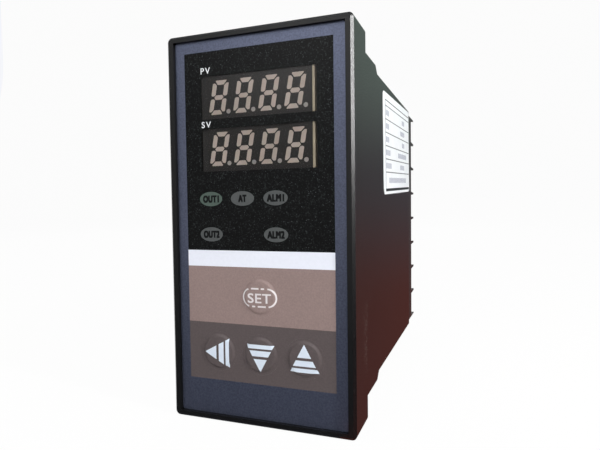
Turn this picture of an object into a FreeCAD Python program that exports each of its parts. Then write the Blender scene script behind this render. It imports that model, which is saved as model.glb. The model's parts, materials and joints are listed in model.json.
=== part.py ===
import FreeCAD, Part
import math
import os
import re
import Sketcher

# A panel-mounting PID temperature controller with a 48 x 96 front.
# Origin: centre of the seat that the front frame makes on the panel.
# +X right seen from the front, +Y back into the panel, +Z up. Millimetres.

SIZES = [
    # Front frame
    ("bezel_width", 48.0, "front frame, side to side"),
    ("bezel_height", 96.0, "front frame, bottom to top"),
    ("bezel_depth", 12.0, "how far the frame stands in front of the panel"),
    ("bezel_corner", 1.2, "radius of the frame's four corners"),
    ("bezel_edge", 0.65, "chamfer round the front of the frame"),
    ("rim_side", 1.85, "raised rim beside the film"),
    ("rim_end", 1.55, "raised rim above and below the film"),
    ("rim_depth", 0.9, "how far the film lies behind the rim"),
    ("plate_thick", 2.0, "front plate behind the film"),
    ("socket_depth", 5.0, "how far the case enters the frame"),
    ("socket_gap", 0.1, "clearance between case and frame"),
    ("window_width", 30.4, "opening for both displays"),
    ("window_x", 0.1, "middle of the display opening"),
    ("window_gap", 0.2, "opening beyond the displays, above and below"),
    ("lamp_slot_width", 5.8, "light slot in front of each lamp"),
    ("lamp_slot_height", 3.2, "light slot in front of each lamp"),
    ("post_diameter", 4.4, "posts that carry the display board"),
    ("post_x", 17.8, "posts, to each side of the middle"),
    ("post_z", 39.2, "posts, above and below the middle"),
    ("hook_width", 8.0, "snap hooks that hold the case"),
    ("hook_thick", 1.4, "snap hooks"),
    ("hook_reach", 9.0, "from the mouth of the case to the hook's nose"),
    ("hook_nose", 2.2, "length of the nose"),
    ("hook_rise", 1.4, "height of the nose"),
    ("hook_gap", 0.15, "clearance of a hook under the case and in its window"),
    # Film and keys
    ("film_thick", 0.3, "printed front film"),
    ("film_gap", 0.05, "clearance round the film"),
    ("film_corner", 0.6, "corner radius of the film"),
    ("key_diameter", 10.0, "round patch of film that gives way"),
    ("key_gap", 0.05, "clearance round the patch"),
    ("key_relief", 0.15, "plate hole beyond the film hole"),
    ("crown_diameter", 8.5, "raised dome of a key"),
    ("crown_flat", 6.6, "level middle of a dome"),
    ("crown_height", 0.5, "rise of a dome"),
    ("key_x", 0.2, "middle key and SET key"),
    ("key_pitch", 11.3, "between neighbouring keys"),
    ("key_row", 30.45, "arrow keys below the middle"),
    ("set_row", 16.3, "SET key below the middle"),
    ("stem_diameter", 3.5, "switch stem under each key"),
    ("stem_gap", 0.08, "clearance round a stem"),
    ("stem_entry", 1.1, "length of the stem inside its switch"),
    ("stem_room", 0.4, "free space under the stem"),
    ("switch_size", 6.2, "side of a key switch"),
    ("switch_height", 3.5, "moulded base of a switch"),
    ("switch_cover", 0.3, "metal cover of a switch"),
    # Displays and lamps
    ("display_x", 0.3, "middle of the displays"),
    ("pv_z", 32.3, "middle of the upper display"),
    ("sv_z", 19.75, "middle of the lower display"),
    ("display_width", 27.4, "display module"),
    ("display_height", 12.4, "display module"),
    ("display_setback", 0.1, "display face behind the back of the film"),
    ("digit_height", 8.25, "figure, bottom to top"),
    ("digit_width", 4.5, "figure, side to side before it leans"),
    ("digit_pitch", 6.61, "between neighbouring figures"),
    ("digit_lean", 7.5, "lean of the figures in degrees"),
    ("digit_shift", 0.6, "figures left of the middle of the module"),
    ("segment_width", 1.0, "bar of a figure"),
    ("segment_gap", 0.3, "gap between two bars"),
    ("segment_depth", 0.6, "light well of a bar"),
    ("point_diameter", 1.1, "decimal point"),
    ("point_offset", 3.2, "decimal point right of its figure"),
    ("lamp_x", -12.7, "left column of lamps"),
    ("lamp_pitch", 8.68, "between neighbouring lamps"),
    ("lamp_upper", 7.5, "upper row of lamps"),
    ("lamp_lower", -1.25, "lower row of lamps"),
    ("lamp_width", 5.0, "lamp, side to side"),
    ("lamp_height", 2.0, "lamp, bottom to top"),
    ("lamp_stand", 1.0, "lamp above its board"),
    ("lamp_setback", 1.5, "front of a lamp behind the back of the film"),
    ("lamp_lead", 0.5, "thickness of a lamp's two leads"),
    ("lead_pitch", 2.54, "between a lamp's two leads"),
    # Circuit boards
    ("board_thick", 1.6, "every circuit board"),
    ("board_front", 2.2, "display board's face in front of the panel"),
    ("front_board_width", 40.4, "display board"),
    ("front_board_height", 83.0, "display board"),
    ("board_screw", 2.0, "thread of the display board's screws"),
    ("board_screw_head", 3.8, "head of the display board's screws"),
    ("board_head_height", 1.5, "head of the display board's screws"),
    ("board_screw_length", 5.8, "length under the head"),
    ("board_screw_gap", 0.05, "clearance of the posts' holes"),
    ("board_hole_gap", 0.2, "clearance of the board's holes"),
    ("long_board_x", 16.6, "inner face of each long board from the middle"),
    ("long_board_start", 2.0, "front edge of the long boards"),
    ("long_board_end", 80.0, "rear edge of the long boards"),
    ("long_board_gap", 0.2, "long boards to the case, above and below"),
    ("pin_size", 0.64, "square header pin"),
    ("pin_pitch", 2.54, "header pins"),
    ("pin_reach", 4.0, "pins along the long board"),
    ("header_gap", 0.1, "header strips to the long boards"),
    # Case
    ("case_width", 44.4, "case, side to side"),
    ("collar_height", 90.4, "front part of the case"),
    ("collar_length", 21.0, "front part of the case behind the panel"),
    ("slope_length", 2.5, "slope from the front part to the body"),
    ("body_height", 86.4, "body of the case"),
    ("case_length", 85.0, "case behind the panel"),
    ("case_wall", 1.6, "case wall"),
    ("case_corner", 0.8, "radius of the case's long edges"),
    ("rail_height", 2.0, "guide rails for the long boards"),
    ("rail_thick", 1.2, "guide rails"),
    ("rail_gap", 0.1, "clearance of a board between its rails"),
    ("vent_width", 2.0, "ventilation slots"),
    ("vent_length", 18.0, "ventilation slots"),
    ("vent_pitch", 4.2, "ventilation slots"),
    ("vent_y", 66.0, "middle of the ventilation slots"),
    ("bracket_slot_width", 7.0, "slots for the panel brackets"),
    ("bracket_slot_length", 3.0, "slots for the panel brackets"),
    ("bracket_slot_x", 10.0, "bracket slots from the middle"),
    ("bracket_slot_y", 42.0, "bracket slots behind the panel"),
    # Terminal block
    ("block_height", 83.5, "terminal block"),
    ("block_depth", 14.0, "terminal block behind the case"),
    ("block_gap", 0.1, "clearance of the block in the case"),
    ("spigot_length", 4.0, "part of the block inside the case"),
    ("core_wall", 1.5, "wall of the hollow in the block"),
    ("bay_floor", 7.0, "floor of the bays behind the case"),
    ("floor_thick", 3.5, "wall under the bays"),
    ("rib_root", 1.3, "barrier at its root"),
    ("rib_tip", 0.7, "barrier at its tip"),
    ("strip_width", 7.0, "number strip between the columns"),
    ("strip_rise", 5.0, "number strip above the floor"),
    ("contact_thick", 1.0, "terminal plate"),
    ("contact_tall", 7.4, "terminal plate"),
    ("contact_inner", 7.4, "inner edge of a terminal plate"),
    ("tail_thick", 0.8, "tail of a terminal plate"),
    ("tail_width", 3.0, "tail of a terminal plate"),
    ("tail_overlap", 3.0, "tail along its circuit board"),
    ("tail_gap", 0.1, "clearance round a tail in the block"),
    ("terminal_screw_x", 11.4, "terminal screws from the middle"),
    ("terminal_screw", 3.0, "thread of the terminal screws"),
    ("terminal_screw_head", 5.8, "head of the terminal screws"),
    ("terminal_head_height", 2.0, "head of the terminal screws"),
    ("terminal_screw_length", 7.0, "length under the head"),
    ("thread_gap", 0.1, "clearance of a terminal screw in its plate"),
    ("screw_room", 0.3, "clearance of a terminal screw in the block"),
    ("washer_size", 7.0, "square clamp washer"),
    ("washer_thick", 0.8, "clamp washer"),
    ("recess_width", 0.8, "cross recess"),
    ("recess_length", 3.6, "cross recess"),
    ("recess_depth", 1.0, "cross recess"),
    # Components on the long boards
    ("relay_pitch", 18.0, "between the two alarm relays"),
    ("lead_width", 0.5, "leads of the chips"),
    ("lead_reach", 1.2, "leads above the board"),
    ("mains_capacitor_y", 69.0, "mains capacitor, middle"),
    ("mains_capacitor_z", 33.0, "mains capacitor, middle"),
    ("mains_capacitor_diameter", 10.0, "mains capacitor"),
    ("mains_capacitor_reach", 16.0, "mains capacitor"),
    ("output_capacitor_y", 30.0, "output capacitor, middle"),
    ("output_capacitor_z", 10.0, "output capacitor, middle"),
    ("output_capacitor_diameter", 8.0, "output capacitor"),
    ("output_capacitor_reach", 12.0, "output capacitor"),
    ("can_edge", 0.5, "chamfer of a capacitor's end"),
    ("varistor_y", 70.0, "varistor, middle"),
    ("varistor_z", 19.0, "varistor, middle"),
    ("varistor_diameter", 10.0, "varistor disc"),
    ("varistor_thick", 4.0, "varistor disc"),
    ("crystal_y", 26.0, "crystal, middle"),
    ("crystal_z", 14.0, "crystal, middle"),
    ("crystal_length", 11.0, "crystal can"),
    ("crystal_width", 4.6, "crystal can"),
    ("crystal_reach", 3.5, "crystal can"),
    ("crystal_edge", 0.5, "chamfer of the crystal can"),
    ("transformer_y", 50.0, "transformer, middle"),
    ("transformer_z", 16.0, "transformer, middle"),
    ("core_length", 19.0, "ferrite core along the case"),
    ("core_reach", 16.0, "ferrite core away from its board"),
    ("core_thick", 4.9, "ferrite core"),
    ("core_leg", 4.9, "middle leg of the core"),
    ("core_yoke", 2.4, "yokes and outer legs of the core"),
    ("base_thick", 3.0, "base of the bobbin"),
    ("base_height", 16.0, "base of the bobbin"),
    ("bobbin_wall", 0.8, "bobbin tube and flanges"),
    ("bobbin_gap", 0.1, "clearance between bobbin and core"),
    ("winding_thick", 3.2, "winding on the bobbin"),
]
# Closed components: middle along Y and Z, length along Y, height along Z,
# reach from the board's inner face, and the chamfer of the edges.
BLOCKS = {
    "control_relay": (60.0, -26.0, 19.0, 15.2, 15.4, 0.6),
    "alarm_relay": (60.0, -14.0, 19.0, 15.2, 15.4, 0.6),
    "power_chip": (31.0, 26.0, 9.6, 6.4, 3.4, 0.3),
    "bridge_rectifier": (50.0, 34.0, 8.4, 6.4, 2.6, 0.3),
    "mains_fuse": (69.5, 6.0, 8.4, 4.2, 7.6, 0.5),
    "optocoupler": (38.0, -4.0, 4.7, 6.4, 3.4, 0.3),
    "processor_chip": (26.0, 2.0, 17.9, 7.5, 2.4, 0.2),
    "amplifier_chip": (60.0, 16.0, 9.6, 6.4, 3.4, 0.3),
}
for block, numbers in BLOCKS.items():
    for size, number in zip(("y", "z", "length", "height", "reach", "edge"), numbers):
        SIZES.append((f"{block}_{size}", number, f"{block}, {size}"))

PIN_COUNT = 8
VENT_COUNT = 7
BAY_COUNT = 8
FIGURES = 4
SHANK_SIDES = 8
HEAD_SIDES = 12
KEY_SIDES = 24
RELIEF_SIDES = 16
POINT_SIDES = 8
CELLS = {alias for alias, value, meaning in SIZES}
WORD = re.compile(r"[a-z_]+")

doc = FreeCAD.newDocument("TemperatureController")
sheet = doc.addObject("Spreadsheet::Sheet", "Sizes")
for row, (alias, value, meaning) in enumerate(SIZES, start=1):
    sheet.set(f"A{row}", alias)
    sheet.set(f"B{row}", str(value))
    sheet.set(f"C{row}", meaning)
    sheet.setAlias(f"B{row}", alias)
doc.recompute()

# Places that several pieces share, as formulas over the sheet.
PLATE_FRONT = "bezel_depth - rim_depth - film_thick"  # in front of the panel
PLATE_BACK = f"{PLATE_FRONT} - plate_thick"
FILM_FRONT = "bezel_depth - rim_depth"
FILM_WIDTH = "bezel_width - 2 * rim_side - 2 * film_gap"
FILM_HEIGHT = "bezel_height - 2 * rim_end - 2 * film_gap"
KEY_HOLE = "key_diameter / 2 + key_gap"
INNER_WIDTH = "case_width - 2 * case_wall"
COLLAR_INSIDE = "collar_height / 2 - case_wall"
BODY_INSIDE = "body_height / 2 - case_wall"
SLOPE_END = "collar_length + slope_length"
HOOK_TOP = f"{COLLAR_INSIDE} - hook_gap"
HOOK_NOSE_START = "hook_reach - socket_depth"
BOARD_BACK = "board_front - board_thick"
FLOOR_Y = "case_length + bay_floor"
BLOCK_END = "case_length + block_depth"
BAY_PITCH = f"(block_height - rib_root) / {BAY_COUNT}"
BAY_HEIGHT = f"({BAY_PITCH} - rib_root)"
FIRST_BAY = f"({BAY_HEIGHT} / 2 + rib_root - block_height / 2)"
SCREW_SEAT = f"{FLOOR_Y} + contact_thick + washer_thick"
PIN_X = "long_board_x - pin_size / 2"
TAIL_X = "long_board_x - tail_thick / 2"

KEYS = {
    "set_key": ("key_x", "-set_row"),
    "shift_key": ("key_x - key_pitch", "-key_row"),
    "down_key": ("key_x", "-key_row"),
    "up_key": ("key_x + key_pitch", "-key_row"),
}
LAMPS = [
    ("lamp_x", "lamp_upper"),
    ("lamp_x + lamp_pitch", "lamp_upper"),
    ("lamp_x + 2 * lamp_pitch", "lamp_upper"),
    ("lamp_x", "lamp_lower"),
    ("lamp_x + 2 * lamp_pitch", "lamp_lower"),
]


def formula(text):
    """The text with every size name turned into a reference to its cell."""
    return WORD.sub(lambda m: f"Sizes.{m[0]}" if m[0] in CELLS else m[0], text)


def bind(owner, path, text):
    owner.setExpression(path, formula(text))


def value(text):
    """The number that a formula over the sheet gives now."""
    return float(sheet.evalExpression(formula(text)))


def new_body(name, place=("0", "0", "0")):
    body = doc.addObject("PartDesign::Body", name)
    body.Label = name
    for axis, text in zip("xyz", place):
        bind(body, f"Placement.Base.{axis}", text)
    return body


def origin_part(body, role):
    return next(part for part in body.Origin.OriginFeatures if part.Role == role)


def new_sketch(body, plane, offset=("0", "0", "0")):
    """A sketch on an origin plane; offset is along its own X, Y and normal.

    XZ_Plane: X right, Y up, normal to the front. YZ_Plane: X back, Y up, normal
    to the right. XY_Plane: X right, Y back, normal up.
    """
    sketch = body.newObject("Sketcher::SketchObject", "Outline")
    sketch.AttachmentSupport = (origin_part(body, plane), [""])
    sketch.MapMode = "FlatFace"
    for axis, text in zip("xyz", offset):
        bind(sketch, f"AttachmentOffset.Base.{axis}", text)
    return sketch


def spot(x, y):
    return FreeCAD.Vector(value(x), value(y), 0)


def constrain(sketch, constraints):
    """Add constraints; one given with a formula is bound to it."""
    first = sketch.ConstraintCount
    sketch.addConstraint([constraint for constraint, text in constraints])
    for index, (constraint, text) in enumerate(constraints, first):
        if text is not None:
            bind(sketch, f"Constraints[{index}]", text)


def at(curve, point, x, y):
    """Constraints that hold a point of a curve at a place given by formulas."""
    return [
        (Sketcher.Constraint("DistanceX", -1, 1, curve, point, value(x)), x),
        (Sketcher.Constraint("DistanceY", -1, 1, curve, point, value(y)), y),
    ]


def joined(first, count):
    """Constraints that join curves end to start in a ring."""
    ring = [(first + k, first + (k + 1) % count) for k in range(count)]
    return [(Sketcher.Constraint("Coincident", a, 2, b, 1), None) for a, b in ring]


def polygon(sketch, points):
    """A closed outline whose corners are pairs of formulas."""
    first = sketch.GeometryCount
    corners = [spot(x, y) for x, y in points]
    ends = corners[1:] + corners[:1]
    sides = [Part.LineSegment(start, end) for start, end in zip(corners, ends)]
    sketch.addGeometry(sides, False)
    places = [at(first + k, 1, x, y) for k, (x, y) in enumerate(points)]
    constrain(sketch, joined(first, len(points)) + sum(places, []))


def rectangle(sketch, x, y, width, height):
    left, right = f"{x} - ({width}) / 2", f"{x} + ({width}) / 2"
    low, high = f"{y} - ({height}) / 2", f"{y} + ({height}) / 2"
    polygon(sketch, [(left, low), (right, low), (right, high), (left, high)])


def circle(sketch, x, y, radius):
    ring = Part.Circle(spot(x, y), FreeCAD.Vector(0, 0, 1), value(radius))
    index = sketch.addGeometry(ring, False)
    limit = (Sketcher.Constraint("Radius", index, value(radius)), radius)
    constrain(sketch, at(index, 3, x, y) + [limit])


def facets(sketch, x, y, radius, sides=12):
    """A small round with flat sides, whose corners lie on the radius."""
    turns = [2 * math.pi * (k + 0.5) / sides for k in range(sides)]
    polygon(sketch, [
        (f"{x} + ({radius}) * {math.cos(turn):.6f}", f"{y} + ({radius}) * {math.sin(turn):.6f}")
        for turn in turns
    ])


def slot(sketch, x, y, width, height):
    """A slot with round ends, lying along the sketch's X."""
    left, right = (f"{x} {sign} ({width} - {height}) / 2" for sign in "-+")
    low, high = f"{y} - {height} / 2", f"{y} + {height} / 2"
    first = sketch.GeometryCount
    up = FreeCAD.Vector(0, 0, 1)
    quarter = math.pi / 2
    radius = value(height) / 2
    sketch.addGeometry([
        Part.LineSegment(spot(left, low), spot(right, low)),
        Part.ArcOfCircle(Part.Circle(spot(right, y), up, radius), -quarter, quarter),
        Part.LineSegment(spot(right, high), spot(left, high)),
        Part.ArcOfCircle(Part.Circle(spot(left, y), up, radius), quarter, 3 * quarter),
    ], False)
    centres = [
        (Sketcher.Constraint("DistanceX", -1, 1, first + 1, 3, value(right)), right),
        (Sketcher.Constraint("DistanceX", -1, 1, first + 3, 3, value(left)), left),
    ]
    corners = at(first, 1, left, low) + at(first, 2, right, low)
    corners += at(first + 2, 1, right, high) + at(first + 2, 2, left, high)
    constrain(sketch, joined(first, 4) + corners + centres)


def pad(body, sketch, length, toward_normal=True, both_ways=False):
    feature = body.newObject("PartDesign::Pad", "Pad")
    feature.Profile = sketch
    feature.Midplane = both_ways
    feature.Reversed = not toward_normal
    bind(feature, "Length", length)
    doc.recompute()
    return feature


def pocket(body, sketch, depth, toward_normal=False, both_ways=False):
    """Cut a sketch into the body; an empty cut stops the build."""
    before = body.Shape.Volume
    feature = body.newObject("PartDesign::Pocket", "Pocket")
    feature.Profile = sketch
    feature.Midplane = both_ways
    feature.Reversed = toward_normal
    bind(feature, "Length", depth)
    doc.recompute()
    if not body.Shape.Volume < before:
        raise ValueError(f"{body.Label}: {feature.Name} cuts nothing")
    return feature


def revolve(body, sketch, axis="V_Axis"):
    feature = body.newObject("PartDesign::Revolution", "Revolution")
    feature.Profile = sketch
    feature.ReferenceAxis = (sketch, [axis])
    feature.Angle = 360
    doc.recompute()
    return feature


def loft(body, first, last):
    """Join two outlines with as many corners by flat sides."""
    feature = body.newObject("PartDesign::AdditiveLoft", "AdditiveLoft")
    feature.Profile = first
    feature.Sections = [last]
    feature.Ruled = True
    doc.recompute()
    return feature


def dress(body, kind, test, size_name, size):
    """Fillet or chamfer every edge of the body that passes the test."""
    base = body.Tip
    names = [f"Edge{n}" for n, edge in enumerate(base.Shape.Edges, 1) if test(edge)]
    feature = body.newObject(f"PartDesign::{kind}", kind)
    feature.Base = (base, names)
    bind(feature, size_name, size)
    doc.recompute()


def fillet(body, test, radius):
    dress(body, "Fillet", test, "Radius", radius)


def mirror(body, plane, originals=()):
    """Repeat features, or with none named the whole body, across a plane."""
    feature = body.newObject("PartDesign::Mirrored", "Mirrored")
    feature.MirrorPlane = (origin_part(body, plane), [""])
    if originals:
        feature.Originals = list(originals)
    else:
        feature.TransformMode = "Whole shape"
    body.Tip = feature
    doc.recompute()


def repeat(body, axis, length, count, originals=()):
    """Repeat features, or with none named the whole body, along an axis."""
    feature = body.newObject("PartDesign::LinearPattern", "LinearPattern")
    feature.Direction = (origin_part(body, axis), [""])
    if originals:
        feature.Originals = list(originals)
    else:
        feature.TransformMode = "Whole shape"
    bind(feature, "Length", length)
    feature.Occurrences = count
    body.Tip = feature
    doc.recompute()


def edge_runs(edge, axis):
    """True for a straight edge along the axis 'x', 'y' or 'z'."""
    if not isinstance(edge.Curve, (Part.Line, Part.LineSegment)):
        return False
    way = edge.tangentAt(edge.FirstParameter)
    return abs(getattr(way, axis)) > 0.999


def edge_at(edge, axis, place):
    """True for an edge that lies wholly in one plane across the axis."""
    box = edge.BoundBox
    low, high = getattr(box, f"{axis.upper()}Min"), getattr(box, f"{axis.upper()}Max")
    return abs(low - place) < 1e-4 and abs(high - place) < 1e-4


def front_bezel():
    """Moulded frame: rim, front plate, socket for the case, posts and hooks."""
    body = new_body("front_bezel")
    outer = new_sketch(body, "XZ_Plane")
    rectangle(outer, "0", "0", "bezel_width", "bezel_height")
    pad(body, outer, "bezel_depth")
    fillet(body, lambda edge: edge_runs(edge, "y"), "bezel_corner")
    front = -value("bezel_depth")
    dress(body, "Chamfer", lambda edge: edge_at(edge, "y", front), "Size", "bezel_edge")

    recess = new_sketch(body, "XZ_Plane", ("0", "0", "bezel_depth"))
    rectangle(recess, "0", "0", "bezel_width - 2 * rim_side", "bezel_height - 2 * rim_end")
    pocket(body, recess, "rim_depth + film_thick")
    socket = new_sketch(body, "XZ_Plane")
    rectangle(socket, "0", "0", "case_width + 2 * socket_gap", "collar_height + 2 * socket_gap")
    pocket(body, socket, "socket_depth", toward_normal=True)
    cavity = new_sketch(body, "XZ_Plane")
    rectangle(cavity, "0", "0", INNER_WIDTH, f"2 * ({COLLAR_INSIDE})")
    pocket(body, cavity, PLATE_BACK, toward_normal=True)

    openings = new_sketch(body, "XZ_Plane", ("0", "0", PLATE_FRONT))
    window_height = "pv_z - sv_z + display_height + 2 * window_gap"
    rectangle(openings, "window_x", "(pv_z + sv_z) / 2", "window_width", window_height)
    for x, z in KEYS.values():
        facets(openings, x, z, f"{KEY_HOLE} + key_relief", RELIEF_SIDES)
    for x, z in LAMPS:
        rectangle(openings, x, z, "lamp_slot_width", "lamp_slot_height")
    pocket(body, openings, "plate_thick")

    posts = new_sketch(body, "XZ_Plane", ("0", "0", PLATE_BACK))
    pilots = new_sketch(body, "XZ_Plane", ("0", "0", "board_front"))
    for x in ("-post_x", "post_x"):
        facets(posts, x, "post_z", "post_diameter / 2")
        facets(pilots, x, "post_z", "board_screw / 2 + board_screw_gap", SHANK_SIDES)
    upper_posts = pad(body, posts, f"{PLATE_BACK} - board_front", toward_normal=False)
    upper_pilots = pocket(body, pilots, "board_screw_length", toward_normal=True)
    mirror(body, "XY_Plane", [upper_posts, upper_pilots])

    hook = new_sketch(body, "YZ_Plane")
    nose_end = f"{HOOK_NOSE_START} + hook_nose"
    low = f"{HOOK_TOP} - hook_thick"
    polygon(hook, [
        (f"-({PLATE_BACK})", low),
        (f"{nose_end} + hook_rise", low),
        (f"{nose_end} + hook_rise", HOOK_TOP),
        (nose_end, f"{HOOK_TOP} + hook_rise"),
        (HOOK_NOSE_START, f"{HOOK_TOP} + hook_rise"),
        (HOOK_NOSE_START, HOOK_TOP),
        ("-socket_depth", HOOK_TOP),
        ("-socket_depth", COLLAR_INSIDE),
        (f"-({PLATE_BACK})", COLLAR_INSIDE),
    ])
    upper_hook = pad(body, hook, "hook_width", both_ways=True)
    mirror(body, "XY_Plane", [upper_hook])
    return body


def overlay_film():
    """Printed polyester front, one sheet with the keys' round patches."""
    body = new_body("overlay_film")
    sheet_outline = new_sketch(body, "XZ_Plane", ("0", "0", PLATE_FRONT))
    rectangle(sheet_outline, "0", "0", FILM_WIDTH, FILM_HEIGHT)
    pad(body, sheet_outline, "film_thick")
    fillet(body, lambda edge: edge_runs(edge, "y"), "film_corner")
    holes = new_sketch(body, "XZ_Plane", ("0", "0", FILM_FRONT))
    for x, z in KEYS.values():
        facets(holes, x, z, KEY_HOLE, KEY_SIDES)
    pocket(body, holes, "film_thick")
    return body


def key_dome(name, x, z):
    """Embossed dome with the ring of film round it that flexes."""
    body = new_body(f"{name}_dome", (x, "0", z))
    patch = new_sketch(body, "XZ_Plane", ("0", "0", PLATE_FRONT))
    foot = new_sketch(body, "XZ_Plane", ("0", "0", FILM_FRONT))
    crown = new_sketch(body, "XZ_Plane", ("0", "0", f"{FILM_FRONT} + crown_height"))
    facets(patch, "0", "0", "key_diameter / 2", KEY_SIDES)
    facets(foot, "0", "0", "crown_diameter / 2", KEY_SIDES)
    facets(crown, "0", "0", "crown_flat / 2", KEY_SIDES)
    pad(body, patch, "film_thick")
    loft(body, foot, crown)
    return body


def key_stem(name, x, z):
    """Long stem of the key's switch, from the dome into the switch."""
    body = new_body(f"{name}_stem", (x, "0", z))
    foot = "board_front + switch_height - stem_entry"
    section = new_sketch(body, "XZ_Plane", ("0", "0", foot))
    facets(section, "0", "0", "stem_diameter / 2")
    pad(body, section, f"{PLATE_FRONT} - ({foot})")
    return body


def switch_bodies():
    """Moulded bases of the four key switches, open for their stems."""
    body = new_body("switch_bodies")
    bases = new_sketch(body, "XZ_Plane", ("0", "0", "board_front"))
    wells = new_sketch(body, "XZ_Plane", ("0", "0", "board_front + switch_height"))
    for x, z in KEYS.values():
        rectangle(bases, x, z, "switch_size", "switch_size")
        facets(wells, x, z, "stem_diameter / 2 + stem_gap")
    pad(body, bases, "switch_height")
    pocket(body, wells, "stem_entry + stem_room")
    return body


def switch_covers():
    """Pressed metal covers of the key switches."""
    body = new_body("switch_covers")
    plates = new_sketch(body, "XZ_Plane", ("0", "0", "board_front + switch_height"))
    for x, z in KEYS.values():
        rectangle(plates, x, z, "switch_size", "switch_size")
        facets(plates, x, z, "stem_diameter / 2 + stem_gap")
    pad(body, plates, "switch_cover")
    return body


def leaned(x, z):
    """A point of a figure after the figure leans to the right."""
    return x + z * math.tan(math.radians(sheet.digit_lean)), z


def bar(start, end, start_side=0, end_side=0):
    """Bar between two corners of a figure, as a closed list of points.

    An end of side 0 is pointed. Side +1 or -1 mitres it, long on that side.
    """
    half = sheet.segment_width / 2
    gap = sheet.segment_gap / math.sqrt(2)
    length = math.hypot(end[0] - start[0], end[1] - start[1])
    along = ((end[0] - start[0]) / length, (end[1] - start[1]) / length)
    across = (-along[1], along[0])

    def setback(side, t):
        return gap + (-side * t if side else half)

    stations = [(setback(start_side, half), half), (length - setback(end_side, half), half)]
    if end_side == 0:
        stations.append((length - gap, 0))
    stations += [(length - setback(end_side, -half), -half), (setback(start_side, -half), -half)]
    if start_side == 0:
        stations.append((gap, 0))
    return [
        leaned(start[0] + s * along[0] + t * across[0], start[1] + s * along[1] + t * across[1])
        for s, t in stations
    ]


def figure_bars():
    """The seven bars of one figure about its own middle."""
    right = (sheet.digit_width - sheet.segment_width) / 2
    top = (sheet.digit_height - sheet.segment_width) / 2
    bars = [bar((-right, z), (right, z), side, side) for z, side in ((-top, -1), (0, 0), (top, 1))]
    for x, outer in ((-right, 1), (right, -1)):
        bars.append(bar((x, 0), (x, top), 0, outer))
        bars.append(bar((x, -top), (x, 0), outer, 0))
    return bars


def point_ring(centre):
    """The outline of a decimal point, closed on itself."""
    rim = FreeCAD.Vector(sheet.point_diameter / 2, 0, 0)
    turns = [360 * k / POINT_SIDES for k in range(POINT_SIDES + 1)]
    axis = FreeCAD.Vector(0, 1, 0)
    return [centre + FreeCAD.Rotation(axis, turn).multVec(rim) for turn in turns]


def display_segments(name, centre_z):
    """Clear resin bars and points of a four-figure display."""
    face_y = -value(f"{PLATE_FRONT} - display_setback")
    depth = FreeCAD.Vector(0, sheet.segment_depth, 0)
    bars = figure_bars()
    solids = []
    for place in range(FIGURES):
        middle = (place - (FIGURES - 1) / 2) * sheet.digit_pitch - sheet.digit_shift
        for outline in bars:
            corners = [FreeCAD.Vector(x + middle, 0, z) for x, z in outline]
            wire = Part.makePolygon(corners + corners[:1])
            solids.append(Part.Face(wire).extrude(depth))
        low = (sheet.segment_width - sheet.digit_height) / 2
        point = FreeCAD.Vector(middle + sheet.point_offset + leaned(0, low)[0], 0, low)
        solids.append(Part.Face(Part.makePolygon(point_ring(point))).extrude(depth))
    feature = doc.addObject("Part::Feature", name)
    feature.Label = name
    feature.Shape = Part.makeCompound(solids)
    feature.Placement.Base = FreeCAD.Vector(sheet.display_x, face_y, value(centre_z))
    return feature


def display_housing(name, segments, centre_z):
    """Reflector housing of a display, with a light well for every bar."""
    block = doc.addObject("Part::Box", f"{name}_block")
    bind(block, "Length", "display_width")
    bind(block, "Width", f"{PLATE_FRONT} - display_setback - board_front")
    bind(block, "Height", "display_height")
    bind(block, "Placement.Base.x", "display_x - display_width / 2")
    bind(block, "Placement.Base.y", f"display_setback - ({PLATE_FRONT})")
    bind(block, "Placement.Base.z", f"{centre_z} - display_height / 2")
    housing = doc.addObject("Part::Cut", name)
    housing.Label = name
    housing.Base = block
    housing.Tool = segments
    return housing


def indicator_lamps():
    """Flat lamps on their leads, one behind each indicator of the film."""
    body = new_body("indicator_lamps")
    foot = "board_front + lamp_stand"
    lenses = new_sketch(body, "XZ_Plane", ("0", "0", foot))
    leads = new_sketch(body, "XZ_Plane", ("0", "0", "board_front"))
    for x, z in LAMPS:
        rectangle(lenses, x, z, "lamp_width", "lamp_height")
        for sign in "-+":
            rectangle(leads, f"{x} {sign} lead_pitch / 2", z, "lamp_lead", "lamp_lead")
    pad(body, lenses, f"{PLATE_FRONT} - lamp_setback - ({foot})")
    pad(body, leads, "lamp_stand")
    return body


def display_board():
    """Circuit board that carries displays, lamps and key switches."""
    body = new_body("display_board")
    outline = new_sketch(body, "XZ_Plane", ("0", "0", BOARD_BACK))
    rectangle(outline, "0", "0", "front_board_width", "front_board_height")
    for x in ("-post_x", "post_x"):
        for z in ("-post_z", "post_z"):
            facets(outline, x, z, "board_screw / 2 + board_hole_gap", SHANK_SIDES)
    pad(body, outline, "board_thick")
    return body


def display_board_screws():
    """Self-tapping screws that hold the display board to the posts."""
    body = new_body("display_board_screws")
    heads = new_sketch(body, "XZ_Plane", ("0", "0", BOARD_BACK))
    shanks = new_sketch(body, "XZ_Plane", ("0", "0", BOARD_BACK))
    for x in ("-post_x", "post_x"):
        facets(heads, x, "post_z", "board_screw_head / 2")
        facets(shanks, x, "post_z", "board_screw / 2", SHANK_SIDES)
    pad(body, heads, "board_head_height", toward_normal=False)
    pad(body, shanks, "board_screw_length")
    mirror(body, "XY_Plane")
    return body


def pin_squares(sketch):
    for k in range(PIN_COUNT):
        rectangle(sketch, PIN_X, f"({k} - {PIN_COUNT - 1} / 2) * pin_pitch", "pin_size", "pin_size")


def header_strips():
    """Plastic strips of the headers between display board and long boards."""
    body = new_body("header_strips")
    outline = new_sketch(body, "XZ_Plane", ("0", "0", BOARD_BACK))
    rectangle(outline, PIN_X, "0", "pin_pitch", f"{PIN_COUNT} * pin_pitch")
    pin_squares(outline)
    pad(body, outline, f"long_board_start + {BOARD_BACK} - header_gap", toward_normal=False)
    mirror(body, "YZ_Plane")
    return body


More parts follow.
